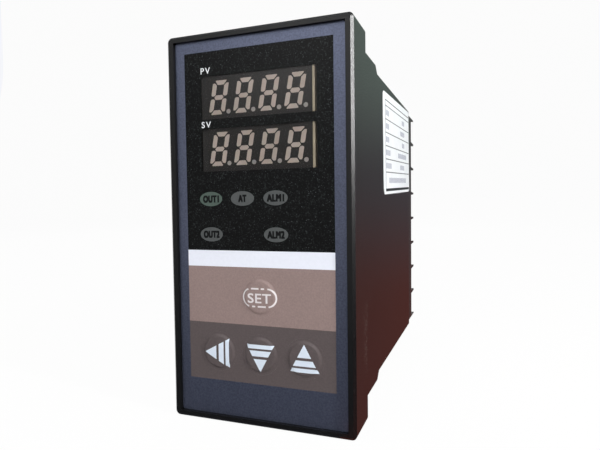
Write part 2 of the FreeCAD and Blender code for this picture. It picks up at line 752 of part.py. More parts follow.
def header_pins():
    """Square pins from the display board to the faces of the long boards."""
    body = new_body("header_pins")
    section = new_sketch(body, "XZ_Plane", ("0", "0", BOARD_BACK))
    pin_squares(section)
    length = f"long_board_start + {BOARD_BACK} + pin_reach"
    pad(body, section, length, toward_normal=False)
    mirror(body, "YZ_Plane")
    return body


def long_board(name, side):
    """Circuit board along one side of the case, between its guide rails."""
    board = doc.addObject("Part::Box", name)
    board.Label = name
    bind(board, "Length", "board_thick")
    bind(board, "Width", "long_board_end - long_board_start")
    bind(board, "Height", f"2 * ({BODY_INSIDE} - long_board_gap)")
    left = "long_board_x" if side > 0 else "-long_board_x - board_thick"
    bind(board, "Placement.Base.x", left)
    bind(board, "Placement.Base.y", "long_board_start")
    bind(board, "Placement.Base.z", f"long_board_gap - ({BODY_INSIDE})")
    return board


def case():
    """Sleeve with a taller front part, guide rails, slots and vents."""
    body = new_body("case")
    outer = new_sketch(body, "YZ_Plane")
    inner = new_sketch(body, "YZ_Plane")
    for sketch, wall in ((outer, "0"), (inner, "case_wall")):
        tall, low = f"collar_height / 2 - {wall}", f"body_height / 2 - {wall}"
        upper = [
            ("-socket_depth", tall), ("collar_length", tall),
            (SLOPE_END, low), ("case_length", low),
        ]
        polygon(sketch, upper + [(y, f"-({z})") for y, z in reversed(upper)])
    pad(body, outer, "case_width", both_ways=True)
    side = value("case_width / 2")

    def long_edge(edge):
        on_side = edge_at(edge, "x", side) or edge_at(edge, "x", -side)
        return on_side and not edge_runs(edge, "z")

    fillet(body, long_edge, "case_corner")
    pocket(body, inner, INNER_WIDTH, both_ways=True)

    rails = new_sketch(body, "XZ_Plane", ("0", "0", f"-({SLOPE_END})"))
    inner_rail = "long_board_x - rail_gap - rail_thick / 2"
    outer_rail = "long_board_x + board_thick + rail_gap + rail_thick / 2"
    for x in (inner_rail, outer_rail):
        for sign in ("", "-"):
            middle = f"{BODY_INSIDE} - rail_height / 2 + case_wall / 4"
            rectangle(rails, x, f"{sign}({middle})", "rail_thick", "rail_height + case_wall / 2")
    reach = f"long_board_end - ({SLOPE_END})"
    right = pad(body, rails, reach, toward_normal=False)
    mirror(body, "YZ_Plane", [right])

    cuts = new_sketch(body, "XY_Plane")
    window_middle = f"{HOOK_NOSE_START} + hook_nose / 2 + hook_rise / 2"
    window_length = "hook_nose + hook_rise + 2 * hook_gap"
    rectangle(cuts, "0", window_middle, "hook_width + 2 * hook_gap", window_length)
    for x in ("-bracket_slot_x", "bracket_slot_x"):
        rectangle(cuts, x, "bracket_slot_y", "bracket_slot_width", "bracket_slot_length")
    for k in range(VENT_COUNT):
        x = f"({k} - {VENT_COUNT - 1} / 2) * vent_pitch"
        rectangle(cuts, x, "vent_y", "vent_width", "vent_length")
    pocket(body, cuts, "collar_height", both_ways=True)
    return body


def terminal_block():
    """Moulded rear block: spigot, bays between barriers, number strip."""
    body = new_body("terminal_block")
    flange = new_sketch(body, "XZ_Plane", ("0", "0", "-case_length"))
    rectangle(flange, "0", "0", "case_width", "block_height")
    pad(body, flange, "block_depth", toward_normal=False)
    fillet(body, lambda edge: edge_runs(edge, "y"), "case_corner")

    spigot = new_sketch(body, "XZ_Plane", ("0", "0", "-case_length"))
    wide, tall = f"{INNER_WIDTH} - 2 * block_gap", f"2 * ({BODY_INSIDE} - block_gap)"
    rectangle(spigot, "0", "0", wide, tall)
    pad(body, spigot, "spigot_length")
    core = new_sketch(body, "XZ_Plane", ("0", "0", "spigot_length - case_length"))
    rectangle(core, "0", "0", f"{wide} - 2 * core_wall", f"{tall} - 2 * core_wall")
    pocket(body, core, "spigot_length + bay_floor - floor_thick")

    bay = new_sketch(body, "YZ_Plane")
    flare = "(rib_root - rib_tip) / 2"
    half = f"{BAY_HEIGHT} / 2"
    polygon(bay, [
        (FLOOR_Y, f"{FIRST_BAY} - {half}"),
        (BLOCK_END, f"{FIRST_BAY} - {half} - {flare}"),
        (BLOCK_END, f"{FIRST_BAY} + {half} + {flare}"),
        (FLOOR_Y, f"{FIRST_BAY} + {half}"),
    ])
    span = f"({BAY_COUNT - 1}) * {BAY_PITCH}"
    first = pocket(body, bay, "case_width", both_ways=True)
    repeat(body, "Z_Axis", span, BAY_COUNT, [first])

    strip = new_sketch(body, "XZ_Plane", ("0", "0", f"-({FLOOR_Y})"))
    rectangle(strip, "0", "0", "strip_width", "block_height")
    pad(body, strip, "strip_rise", toward_normal=False)

    holes = new_sketch(body, "XZ_Plane", ("0", "0", f"-({FLOOR_Y})"))
    for sign in ("", "-"):
        well = "terminal_screw + 2 * screw_room"
        rectangle(holes, f"{sign}terminal_screw_x", FIRST_BAY, well, well)
        x = f"{sign}({TAIL_X})"
        wide, tall = "tail_thick + 2 * tail_gap", "tail_width + 2 * tail_gap"
        rectangle(holes, x, FIRST_BAY, wide, tall)
    through = pocket(body, holes, "floor_thick", toward_normal=True)
    repeat(body, "Z_Axis", span, BAY_COUNT, [through])
    return body


def fill_bays(body):
    """Repeat a piece of the first right-hand bay in every bay."""
    mirror(body, "YZ_Plane")
    repeat(body, "Z_Axis", f"({BAY_COUNT - 1}) * {BAY_PITCH}", BAY_COUNT)


def terminal_plates():
    """Clamp plates on the bay floors, with tails to the circuit boards."""
    body = new_body("terminal_plates")
    plate = new_sketch(body, "XZ_Plane", ("0", "0", f"-({FLOOR_Y})"))
    wide = "(long_board_x - contact_inner)"
    rectangle(plate, f"contact_inner + {wide} / 2", FIRST_BAY, wide, "contact_tall")
    facets(plate, "terminal_screw_x", FIRST_BAY, "terminal_screw / 2 + thread_gap", SHANK_SIDES)
    pad(body, plate, "contact_thick", toward_normal=False)
    tail = new_sketch(body, "XZ_Plane", ("0", "0", f"-({FLOOR_Y})"))
    rectangle(tail, TAIL_X, FIRST_BAY, "tail_thick", "tail_width")
    pad(body, tail, f"{FLOOR_Y} - long_board_end + tail_overlap")
    fill_bays(body)
    return body


def terminal_washers():
    """Square clamp washers under the screw heads."""
    body = new_body("terminal_washers")
    outline = new_sketch(body, "XZ_Plane", ("0", "0", f"-({FLOOR_Y} + contact_thick)"))
    rectangle(outline, "terminal_screw_x", FIRST_BAY, "washer_size", "washer_size")
    facets(outline, "terminal_screw_x", FIRST_BAY, "terminal_screw / 2 + thread_gap", SHANK_SIDES)
    pad(body, outline, "washer_thick", toward_normal=False)
    fill_bays(body)
    return body


def terminal_screws():
    """Clamp screws with a cross recess."""
    body = new_body("terminal_screws")
    head = new_sketch(body, "XZ_Plane", ("0", "0", f"-({SCREW_SEAT})"))
    facets(head, "terminal_screw_x", FIRST_BAY, "terminal_screw_head / 2", HEAD_SIDES)
    pad(body, head, "terminal_head_height", toward_normal=False)
    shank = new_sketch(body, "XZ_Plane", ("0", "0", f"-({SCREW_SEAT})"))
    facets(shank, "terminal_screw_x", FIRST_BAY, "terminal_screw / 2", SHANK_SIDES)
    pad(body, shank, "terminal_screw_length")
    top = f"-({SCREW_SEAT} + terminal_head_height)"
    cross = new_sketch(body, "XZ_Plane", ("terminal_screw_x", FIRST_BAY, top))
    w, r = "recess_width / 2", "recess_length / 2"
    arm = [(r, f"-{w}"), (r, w), (w, w)]
    arm += [(w, r), (f"-{w}", r), (f"-{w}", w)]
    polygon(cross, arm + [(negative(x), negative(y)) for x, y in arm])
    pocket(body, cross, "recess_depth", toward_normal=True)
    fill_bays(body)
    return body


def negative(text):
    return text[1:] if text.startswith("-") else f"-{text}"


def moulded_block(name, size, side, places, leads=0):
    """Closed components on the inner face of the long board on that side.

    size names the rows of the sheet, places are (Y, Z), and leads is the
    number of leads along each long side of a chip.
    """
    body = new_body(name)
    face = "long_board_x" if side > 0 else "-long_board_x"
    outline = new_sketch(body, "YZ_Plane", ("0", "0", face))
    for y, z in places:
        rectangle(outline, y, z, f"{size}_length", f"{size}_height")
    pad(body, outline, f"{size}_reach", toward_normal=side < 0)
    far = side * value(f"long_board_x - {size}_reach")
    dress(
        body, "Chamfer", lambda e: edge_at(e, "x", far) or edge_runs(e, "x"), "Size", f"{size}_edge"
    )
    if leads:
        feet = new_sketch(body, "YZ_Plane", ("0", "0", face))
        y, z = places[0]
        pitch = f"{size}_length / {leads}"
        for sign in ("+", "-"):
            across = f"{z} {sign} ({size}_height + lead_width) / 2"
            rectangle(feet, f"{y} - {size}_length / 2 + {pitch} / 2", across, "lead_width", "lead_width")
        pair = pad(body, feet, "lead_reach", toward_normal=side < 0)
        repeat(body, "Y_Axis", f"{size}_length - {pitch}", leads, [pair])
    return body


def capacitor(name):
    """Round can standing on the power board."""
    body = new_body(name)
    profile = new_sketch(body, "XY_Plane", ("0", f"{name}_y", f"{name}_z"))
    radius = f"{name}_diameter / 2"
    far = f"long_board_x - {name}_reach"
    polygon(profile, [
        ("long_board_x", "0"),
        ("long_board_x", radius),
        (f"{far} + can_edge", radius),
        (far, f"{radius} - can_edge"),
        (far, "0"),
    ])
    revolve(body, profile, "H_Axis")
    return body


def varistor():
    """Disc that stands on its edge on the power board."""
    body = new_body("varistor")
    disc = new_sketch(body, "XY_Plane", ("0", "0", "varistor_z"))
    circle(disc, "long_board_x - varistor_diameter / 2", "varistor_y", "varistor_diameter / 2")
    pad(body, disc, "varistor_thick", both_ways=True)
    return body


def crystal():
    """Clock crystal in its metal can on the main board."""
    body = new_body("crystal")
    outline = new_sketch(body, "YZ_Plane", ("0", "0", "-long_board_x"))
    slot(outline, "crystal_y", "crystal_z", "crystal_length", "crystal_width")
    pad(body, outline, "crystal_reach")
    far = value("crystal_reach - long_board_x")
    dress(body, "Chamfer", lambda edge: edge_at(edge, "x", far), "Size", "crystal_edge")
    return body


CORE_OUTSIDE = "long_board_x - base_thick"
WINDOW_LOW = f"{CORE_OUTSIDE} - core_reach + core_yoke"
WINDOW_HIGH = f"{CORE_OUTSIDE} - core_yoke"
TUBE_INSIDE = "core_leg + 2 * bobbin_gap"
TUBE_OUTSIDE = f"{TUBE_INSIDE} + 2 * bobbin_wall"


def transformer_core():
    """Ferrite double E with two windows round the middle leg."""
    body = new_body("transformer_core")
    outline = new_sketch(body, "XY_Plane", ("0", "transformer_y", "transformer_z"))
    rectangle(outline, f"{CORE_OUTSIDE} - core_reach / 2", "0", "core_reach", "core_length")
    wide = "((core_length - core_leg) / 2 - core_yoke)"
    tall = f"{WINDOW_HIGH} - ({WINDOW_LOW})"
    for sign in ("", "-"):
        middle = f"{sign}(core_leg + {wide}) / 2"
        rectangle(outline, f"({WINDOW_LOW} + {WINDOW_HIGH}) / 2", middle, tall, wide)
    pad(body, outline, "core_thick", both_ways=True)
    return body


def square_ring(body, x, outside_y, outside_z, inside, depth):
    """Pad a rectangular ring round the core's middle leg, away from the board."""
    ring = new_sketch(body, "YZ_Plane", ("transformer_y", "transformer_z", x))
    rectangle(ring, "0", "0", outside_y, outside_z)
    rectangle(ring, "0", "0", inside, inside)
    pad(body, ring, depth, toward_normal=False)


def transformer_bobbin():
    """Bobbin: pin base, two webs past the core, and a flanged tube."""
    body = new_body("transformer_bobbin")
    base = new_sketch(body, "YZ_Plane", ("transformer_y", "transformer_z", "long_board_x"))
    rectangle(base, "0", "0", "core_length", "base_height")
    pad(body, base, "base_thick", toward_normal=False)
    webs = new_sketch(body, "YZ_Plane", ("transformer_y", "transformer_z", CORE_OUTSIDE))
    for sign in ("", "-"):
        middle = f"{sign}(core_thick / 2 + bobbin_gap + bobbin_wall / 2)"
        rectangle(webs, "0", middle, TUBE_OUTSIDE, "bobbin_wall")
    pad(body, webs, "core_yoke + bobbin_gap + bobbin_wall", toward_normal=False)
    flange_y = "core_length - 2 * core_yoke - 2 * bobbin_gap"
    top = f"{WINDOW_HIGH} - bobbin_gap"
    square_ring(body, top, flange_y, "base_height", TUBE_INSIDE, "bobbin_wall")
    length = f"{top} - ({WINDOW_LOW}) - bobbin_gap"
    square_ring(body, top, TUBE_OUTSIDE, TUBE_OUTSIDE, TUBE_INSIDE, length)
    end = f"{WINDOW_LOW} + bobbin_gap + bobbin_wall"
    square_ring(body, end, flange_y, "base_height", TUBE_INSIDE, "bobbin_wall")
    return body


def transformer_winding():
    """Wound copper under its tape, between the flanges of the bobbin."""
    body = new_body("transformer_winding")
    outside = f"{TUBE_OUTSIDE} + 2 * winding_thick"
    start = f"{WINDOW_HIGH} - bobbin_gap - bobbin_wall"
    length = f"{start} - ({WINDOW_LOW}) - bobbin_gap - bobbin_wall"
    square_ring(body, start, outside, outside, TUBE_OUTSIDE, length)
    reach = value(outside) / 2

    def outer_corner(edge):
        middle = edge.BoundBox.Center
        far = abs(middle.y - sheet.transformer_y) > reach - 0.01
        return far and edge_runs(edge, "x")

    fillet(body, outer_corner, "winding_thick / 2")
    return body


def build_pieces():
    yield front_bezel()
    yield overlay_film()
    for name, (x, z) in KEYS.items():
        yield key_dome(name, x, z)
        yield key_stem(name, x, z)
    yield switch_bodies()
    yield switch_covers()
    for name, centre_z in (("pv_display", "pv_z"), ("sv_display", "sv_z")):
        segments = display_segments(f"{name}_segments", centre_z)
        yield display_housing(f"{name}_housing", segments, centre_z)
        yield segments
    yield indicator_lamps()
    yield display_board()
    yield display_board_screws()
    yield header_strips()
    yield header_pins()
    yield long_board("main_board", -1)
    yield long_board("power_board", 1)
    yield case()
    yield terminal_block()
    yield terminal_plates()
    yield terminal_washers()
    yield terminal_screws()
    yield transformer_core()
    yield transformer_bobbin()
    yield transformer_winding()
    yield capacitor("mains_capacitor")
    yield capacitor("output_capacitor")
    yield varistor()
    yield crystal()
    for name, side, leads in (
        ("control_relay", 1, 0), ("power_chip", 1, 4), ("bridge_rectifier", 1, 2),
        ("mains_fuse", 1, 0), ("optocoupler", 1, 2),
        ("processor_chip", -1, 14), ("amplifier_chip", -1, 4),
    ):
        yield moulded_block(name, name, side, [(f"{name}_y", f"{name}_z")], leads)
    relays = [("alarm_relay_y", "alarm_relay_z"), ("alarm_relay_y", "alarm_relay_z - relay_pitch")]
    yield moulded_block("alarm_relays", "alarm_relay", -1, relays)


pieces = list(build_pieces())
doc.recompute()
for item in doc.Objects:
    if {"Invalid", "Error"} & set(item.State):
        raise ValueError(f"{item.Label}: {item.State}")
for piece in pieces:
    if piece.Shape.isNull() or not piece.Shape.isValid():
        raise ValueError(f"{piece.Label}: shape is null or not valid")

os.makedirs("parts", exist_ok=True)
for piece in pieces:
    piece.Shape.exportStep(f"parts/{piece.Label}.step")
print(len(pieces), "pieces written")
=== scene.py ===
"""Looks of a panel-mounting PID temperature controller, built round its packed model."""
import json
import math

import bpy
import numpy as np
from bpy.props import FloatProperty, FloatVectorProperty, PointerProperty
from mathutils import Matrix, Vector
from mathutils.geometry import tessellate_polygon


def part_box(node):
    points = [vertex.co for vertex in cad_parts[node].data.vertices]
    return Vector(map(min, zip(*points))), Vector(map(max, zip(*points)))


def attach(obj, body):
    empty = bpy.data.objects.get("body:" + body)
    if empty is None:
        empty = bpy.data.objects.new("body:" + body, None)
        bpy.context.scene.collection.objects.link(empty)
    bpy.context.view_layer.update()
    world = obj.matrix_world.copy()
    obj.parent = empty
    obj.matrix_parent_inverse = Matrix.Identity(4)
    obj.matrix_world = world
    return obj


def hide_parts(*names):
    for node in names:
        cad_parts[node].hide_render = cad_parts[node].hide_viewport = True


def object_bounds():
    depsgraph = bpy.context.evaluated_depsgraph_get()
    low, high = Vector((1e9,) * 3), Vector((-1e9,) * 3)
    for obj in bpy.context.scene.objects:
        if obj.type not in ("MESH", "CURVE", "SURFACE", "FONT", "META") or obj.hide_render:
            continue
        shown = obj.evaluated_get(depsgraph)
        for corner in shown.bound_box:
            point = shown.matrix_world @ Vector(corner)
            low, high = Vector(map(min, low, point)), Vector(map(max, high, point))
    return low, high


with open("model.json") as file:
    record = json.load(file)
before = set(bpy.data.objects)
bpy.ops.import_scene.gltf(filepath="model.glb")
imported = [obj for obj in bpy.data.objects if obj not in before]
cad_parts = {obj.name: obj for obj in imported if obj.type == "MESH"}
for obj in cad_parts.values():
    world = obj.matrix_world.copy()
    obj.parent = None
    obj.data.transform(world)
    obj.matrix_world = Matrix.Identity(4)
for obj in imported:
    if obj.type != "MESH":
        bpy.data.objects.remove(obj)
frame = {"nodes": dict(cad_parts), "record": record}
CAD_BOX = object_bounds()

bl_info = {
    "name": "Temperature controller looks",
    "version": (1, 0, 0),
    "blender": (4, 5, 0),
    "location": "View3D > Sidebar > Controller",
    "description": "Printed front, keys, terminals, side label, finishes and studio of a panel controller",
    "category": "Object",
}

MM = 0.001
LAYER = 0.001 * MM  # each copy of a print stands this much over the one before, so that no two share a plane
SAME_PLACE = 0.0001 * MM  # points nearer than this are one point
KEY_HEART, SCREW_HEART = 0.3 * MM, 0.08 * MM  # innermost ring of a key dome and of a screw head
EASED_SHARE = 0.45  # most that a rounded corner takes of a side
WORD_COPIES = ((0, 0), (-1, -1), (1, -1), (1, 1), (-1, 1))  # where a heavy word's copies go

# Right, up and outward directions of the three faces that carry print or screws.
FACES = {
    "front": ((1, 0, 0), (0, 0, 1), (0, -1, 0)),
    "side": ((0, 1, 0), (0, 0, 1), (1, 0, 0)),
    "rear": ((-1, 0, 0), (0, 0, 1), (0, 1, 0)),
}

# How many steps, rows, columns or rings the round and shaped surfaces are cut into.
ROUND_STEPS = 96
OVAL_STEPS = 48
SMALL_STEPS = 32
CORNER_STEPS = 8
EASED_STEPS = 5
ARC_STEPS = 60
DASH_STEPS = 12
SLICE_ROWS, SLICE_COLUMNS = 16, 49
STRIP_COLUMNS = 5
BEND_STEPS = 24
FLAT_RINGS, FLANK_RINGS, HEAD_RINGS = 12, 14, 40
FONT_STEPS = 5


# ---------------------------------------------------------------- properties

def linear(code):
    """sRGB hex to linear: c / 12.92 up to 0.04045, above it ((c + 0.055) / 1.055) to the power 2.4."""
    c = np.array([int(code[start:start + 2], 16) for start in (1, 3, 5)]) / 255
    return tuple(np.where(c <= 0.04045, c / 12.92, ((c + 0.055) / 1.055) ** 2.4).tolist())


def length(name, description, mm):
    """A size property, given in millimetres and kept in metres."""
    return FloatProperty(name=name, description=description, default=mm * MM, unit="LENGTH",
                         subtype="DISTANCE", precision=5)


def paint(name, description, code):
    """A colour property, given as sRGB hex and kept linear."""
    return FloatVectorProperty(name=name, description=description, default=linear(code), size=3,
                               min=0.0, max=1.0, subtype="COLOR")


def turn(name, description, degrees):
    """An angle property, given in degrees."""
    return FloatProperty(name=name, description=description, default=math.radians(degrees), subtype="ANGLE",
                         unit="ROTATION")


def amount(name, description, value):
    """A plain number property."""
    return FloatProperty(name=name, description=description, default=value, min=0.0)


def position(name, description, metres):
    """A place property, in metres right, back and up."""
    return FloatVectorProperty(name=name, description=description, default=metres, size=3,
                               subtype="TRANSLATION", unit="LENGTH")


class FilmSettings(bpy.types.PropertyGroup):
    """Printed fields of the front film: x to the right and z up from the middle of the front."""
    block_left: length("Block left", "Left edge of the printed block", -19.5)
    block_right: length("Block right", "Right edge of the printed block", 19.2)
    block_top: length("Block top", "Top of the black field", 43.6)
    stripe_top: length("Stripe top", "Black field ends and white stripe starts", -5.2)
    key_band_top: length("Key band top", "White stripe ends and band of the SET key starts", -9.2)
    arrow_band_top: length("Arrow band top", "Band of the arrow keys starts", -23.3)
    arrow_band_end: length("Arrow band end", "Lower end of the printed block", -37.75)
    window_left: length("Window left", "Left edge of both display windows", -15.0)
    window_right: length("Window right", "Right edge of both display windows", 15.2)
    window_height: length("Window height", "Height of a display window", 10.55)
    upper_window: length("Upper window", "Middle of the PV window", 32.35)
    lower_window: length("Lower window", "Middle of the SV window", 19.55)
    corner: length("Corner", "Corner radius of the film", 0.6)
    oval_width: length("Oval width", "Width of a lamp field", 6.25)
    oval_height: length("Oval height", "Height of a lamp field", 3.55)
    key_gap: length("Key gap", "Cut line round each key patch", 0.01)
    ink: length("Ink", "How far print stands on the film", 0.012)
    word_width: length("Word width", "Width of PV and SV", 2.6)
    word_height: length("Word height", "Height of PV and SV", 1.5)
    word_weight: length("Word weight", "How far the strokes of PV and SV are spread", 0.015)
    word_spacing: amount("Word spacing", "Letter spacing of PV and SV, 1 as in the font", 1.3)
    word_x: length("Word middle", "Middle of PV and SV from the centre line", -13.6)
    upper_word: length("Upper word", "Height of PV on the front", 38.98)
    lower_word: length("Lower word", "Height of SV on the front", 25.83)
    lamp_word_height: length("Lamp word height", "Height of the words in the lamp fields", 1.85)
    lamp_word_weight: length("Lamp word weight", "How far the strokes of these words are spread", 0.13)
    lamp_word_spacing: amount("Lamp word spacing", "Letter spacing of these words, 1 as in the font", 1.12)
    letter_width: length("Letter width", "Width that each letter of these words takes", 1.12)
    # The display edge is a cream strip facing forward: painted light that stands in for the display's side,
    # which the light from the right makes bright.
    edge_width: length("Display edge width", "Bare edge of a display beside its printed face", 0.55)
    edge_depth: length("Display edge depth", "How far that edge reaches back", 1.6)
    edge_gap: length("Display edge gap", "Space between the edge and the film", 0.15)
    border_colour: paint("Border", "Blue-grey frame of the film", "#555a6c")
    black_colour: paint("Black field", "Field behind the displays", "#0c0d0d")
    stripe_colour: paint("Stripe", "White stripe", "#dcdfe9")
    key_band_colour: paint("Key band", "Taupe band of the SET key", "#887571")
    arrow_band_colour: paint("Arrow band", "Brown band of the arrow keys", "#544b4b")
    window_colour: paint("Window", "Smoked display windows", "#14110e")
    oval_colour: paint("Lamp field", "Grey lamp fields", "#484b4b")
    oval_first_colour: paint("First lamp field", "Greener field of the first lamp", "#45534c")
    word_colour: paint("Words", "White words", "#dfe2e6")
    lamp_word_colour: paint("Lamp words", "Dark words in the lamp fields", "#070809")
    window_alpha: amount("Window density", "How much of the smoked window is seen", 0.18)
    figure_pitch: length("Figure pitch", "Distance of two figures", 6.65)
    figure_middle: length("Figure middle", "Middle of the four figures from the centre line", -0.145)
    figure_lean: turn("Figure lean", "Lean of the figures", 10.2)
    figure_ease: length("Figure ease", "How far a bar's corners are rounded", 0.14)
    point_x: length("Point place", "Decimal point right of its figure's middle, before it leans", 3.2)
    point_z: length("Point height", "Decimal point from the figure's middle", -3.54)
    point_width: length("Point width", "Diameter of a decimal point", 1.1)
    face_rise: length("Face rise", "How far a display's printed face stands on its housing", 0.03)
    bar_rise: length("Bar rise", "How far the bars stand on the housing", 0.06)
    # Colour of that strip: the cream of the lit side, painted on a face turned to the camera.
    painted_lit_side_colour: paint("Display edge", "Bare edge of a display", "#d9caad")
    bar_colour: paint("Figure bar", "Cream resin of a figure's bars", "#d3bfb3")
    point_colour: paint("Decimal point", "Greyer resin of a decimal point", "#b0a7a2")
    gasket_colour: paint("Gasket", "Foam beside a display", "#2b2a29")


class KeySettings(bpy.types.PropertyGroup):
    """Embossed key domes and what is printed on them."""
    crown: length("Crown radius", "Outer radius of the embossed dome", 4.45)
    flat: length("Flat radius", "Radius at which the dome's flank starts", 3.6)
    rise: length("Rise", "Height of the dome's shoulder", 0.32)
    bulge: length("Bulge", "Extra height in the middle", 0.12)
    lift: length("Ink", "How far print stands on a dome", 0.02)
    sink: length("Ink root", "How deep print reaches into a dome", 0.05)
    arrow_length: length("Arrow length", "Tip to base of an arrow", 6.7)
    arrow_half: length("Arrow half width", "Half the width of an arrow's base", 3.65)
    arrow_lead: length("Arrow lead", "From the key's middle to the tip", 3.87)
    print_drop: length("Print drop", "Print lies below the key's middle", 0.3)
    ring_radius: length("Ring radius", "Radius of the rounded ends of the SET outline", 2.16)
    ring_reach: length("Ring reach", "Centres of those ends from the key's middle", 2.18)
    ring_stroke: length("Ring stroke", "Line width of the SET outline", 0.38)
    ring_drop: length("Ring drop", "SET outline below the key's middle", 0.15)
    set_width: length("SET width", "Width of the word SET", 6.15)
    set_height: length("SET height", "Height of the word SET", 2.35)
    set_weight: length("SET weight", "How far the strokes of SET are spread", 0.045)
    set_spacing: amount("SET spacing", "Letter spacing of SET, 1 as in the font", 1.05)
    crease: turn("Crease", "Edges sharper than this stay sharp", 50)
    arrow_colour: paint("Arrows", "Pale arrows", "#ccd6e2")
    set_colour: paint("SET", "White print of the SET key", "#d3cecf")


class TerminalSettings(bpy.types.PropertyGroup):
    """Pan-head terminal screws and moulded numbers."""
    washer: length("Washer", "Side of a square washer", 7.0)
    head_radius: length("Head radius", "Radius of a screw head", 2.9)
    head_side: length("Head side", "Straight side of a screw head", 0.7)
    shank_radius: length("Shank radius", "Radius of the screw's shank", 1.35)
    shank_reach: length("Shank reach", "How far the shank reaches into the head", 0.1)
    recess_length: length("Recess length", "Length of the cross recess", 3.6)
    recess_width: length("Recess width", "Width of an arm of the recess", 0.75)
    recess_depth: length("Recess depth", "Depth of the recess", 1.1)
    recess_slope: length("Recess slope", "Width of the recess's sloping side", 0.22)
    strip_drop: length("Strip drop", "Number strip below the back of the block", 2.0)
    number_height: length("Number height", "Height of a moulded number", 2.0)
    number_x: length("Number place", "Middle of a number from the centre line", 1.75)
    number_rise: length("Number rise", "How far a number stands out", 0.12)
    number_root: length("Number root", "How deep a number reaches into the strip", 0.05)
    number_margin: length("Number margin", "Width of a number over that of its figures", 0.4)
    number_width: length("Number width", "Width that each figure of a number takes", 0.95)
    crease: turn("Crease", "Edges sharper than this stay sharp", 40)


class LabelSettings(bpy.types.PropertyGroup):
    """Paper label on the right side: y back from the panel and z up, before it is tilted."""
    front: length("Front edge", "Front edge of the label", 31.3)
    back: length("Back edge", "Rear edge of the label", 84.7)
    bottom: length("Bottom", "Lower edge of the label", 9.75)
    top: length("Top", "Upper edge of the label", 41.1)
    tilt: turn("Tilt", "How far the label is stuck on out of level", 2.35)
    corner: length("Corner", "Corner radius of the label", 1.8)
    thickness: length("Thickness", "Thickness of the label", 0.12)
    frame_inset: length("Frame inset", "Printed frame inside the label's front edge", 3.3)
    top_inset: length("Top inset", "Printed frame below the label's top", 2.3)
    head_share: amount("Head share", "Share of the ruled height above the first thin line", 0.063)
    row_share: amount("Row share", "Share of the ruled height that a row takes", 0.15)
    rule: length("Rule", "Width of the printed lines", 0.3)
    bar: length("Bar", "Width of the heavy line at the bottom", 0.9)
    stroke: length("Stroke", "Width of a printed dash", 0.9)
    pitch: length("Pitch", "Distance of the printed dashes", 1.9)
    line_height: length("Line height", "Height of a printed dash", 1.7)
    ink: length("Ink", "How far print stands on the label", 0.012)
    paper_colour: paint("Paper", "Label paper", "#eaedef")
    ink_colour: paint("Ink", "Heavy label print", "#20282a")
    rule_colour: paint("Rules", "Thin ruled lines", "#5e6364")
    dash_colour: paint("Dashes", "Grey dashes in place of lettering", "#7d8298")


class FinishSettings(bpy.types.PropertyGroup):
    """Colours of the mouldings and the parts inside, and the wear of the frame."""
    plastic: paint("Case plastic", "Black textured case and frame", "#0b0b0c")
    worn: paint("Worn plastic", "Rubbed specks on the frame's edge", "#8d8a84")
    edge: length("Polished edge", "Chamfer of the frame that handling has polished", 0.65)
    polish: amount("Polish", "Share of its roughness that a polished edge keeps", 0.75)
    edge_relief: amount("Edge relief", "Share of its grain's height that a polished edge keeps", 0.25)
    block: paint("Block plastic", "Terminal block", "#1b1b1c")
    display_face: paint("Display face", "Printed face of a display", "#1d1917")
    face_depth: length("Face depth", "How far back that print reaches on the housing", 0.02)
    display_side: paint("Display side", "Moulded sides of a display", "#d9cbb2")
    steel: paint("Plated steel", "Screws, washers and covers", "#b9b6ae")
    brass: paint("Brass", "Contact plates and pins", "#b99a5e")


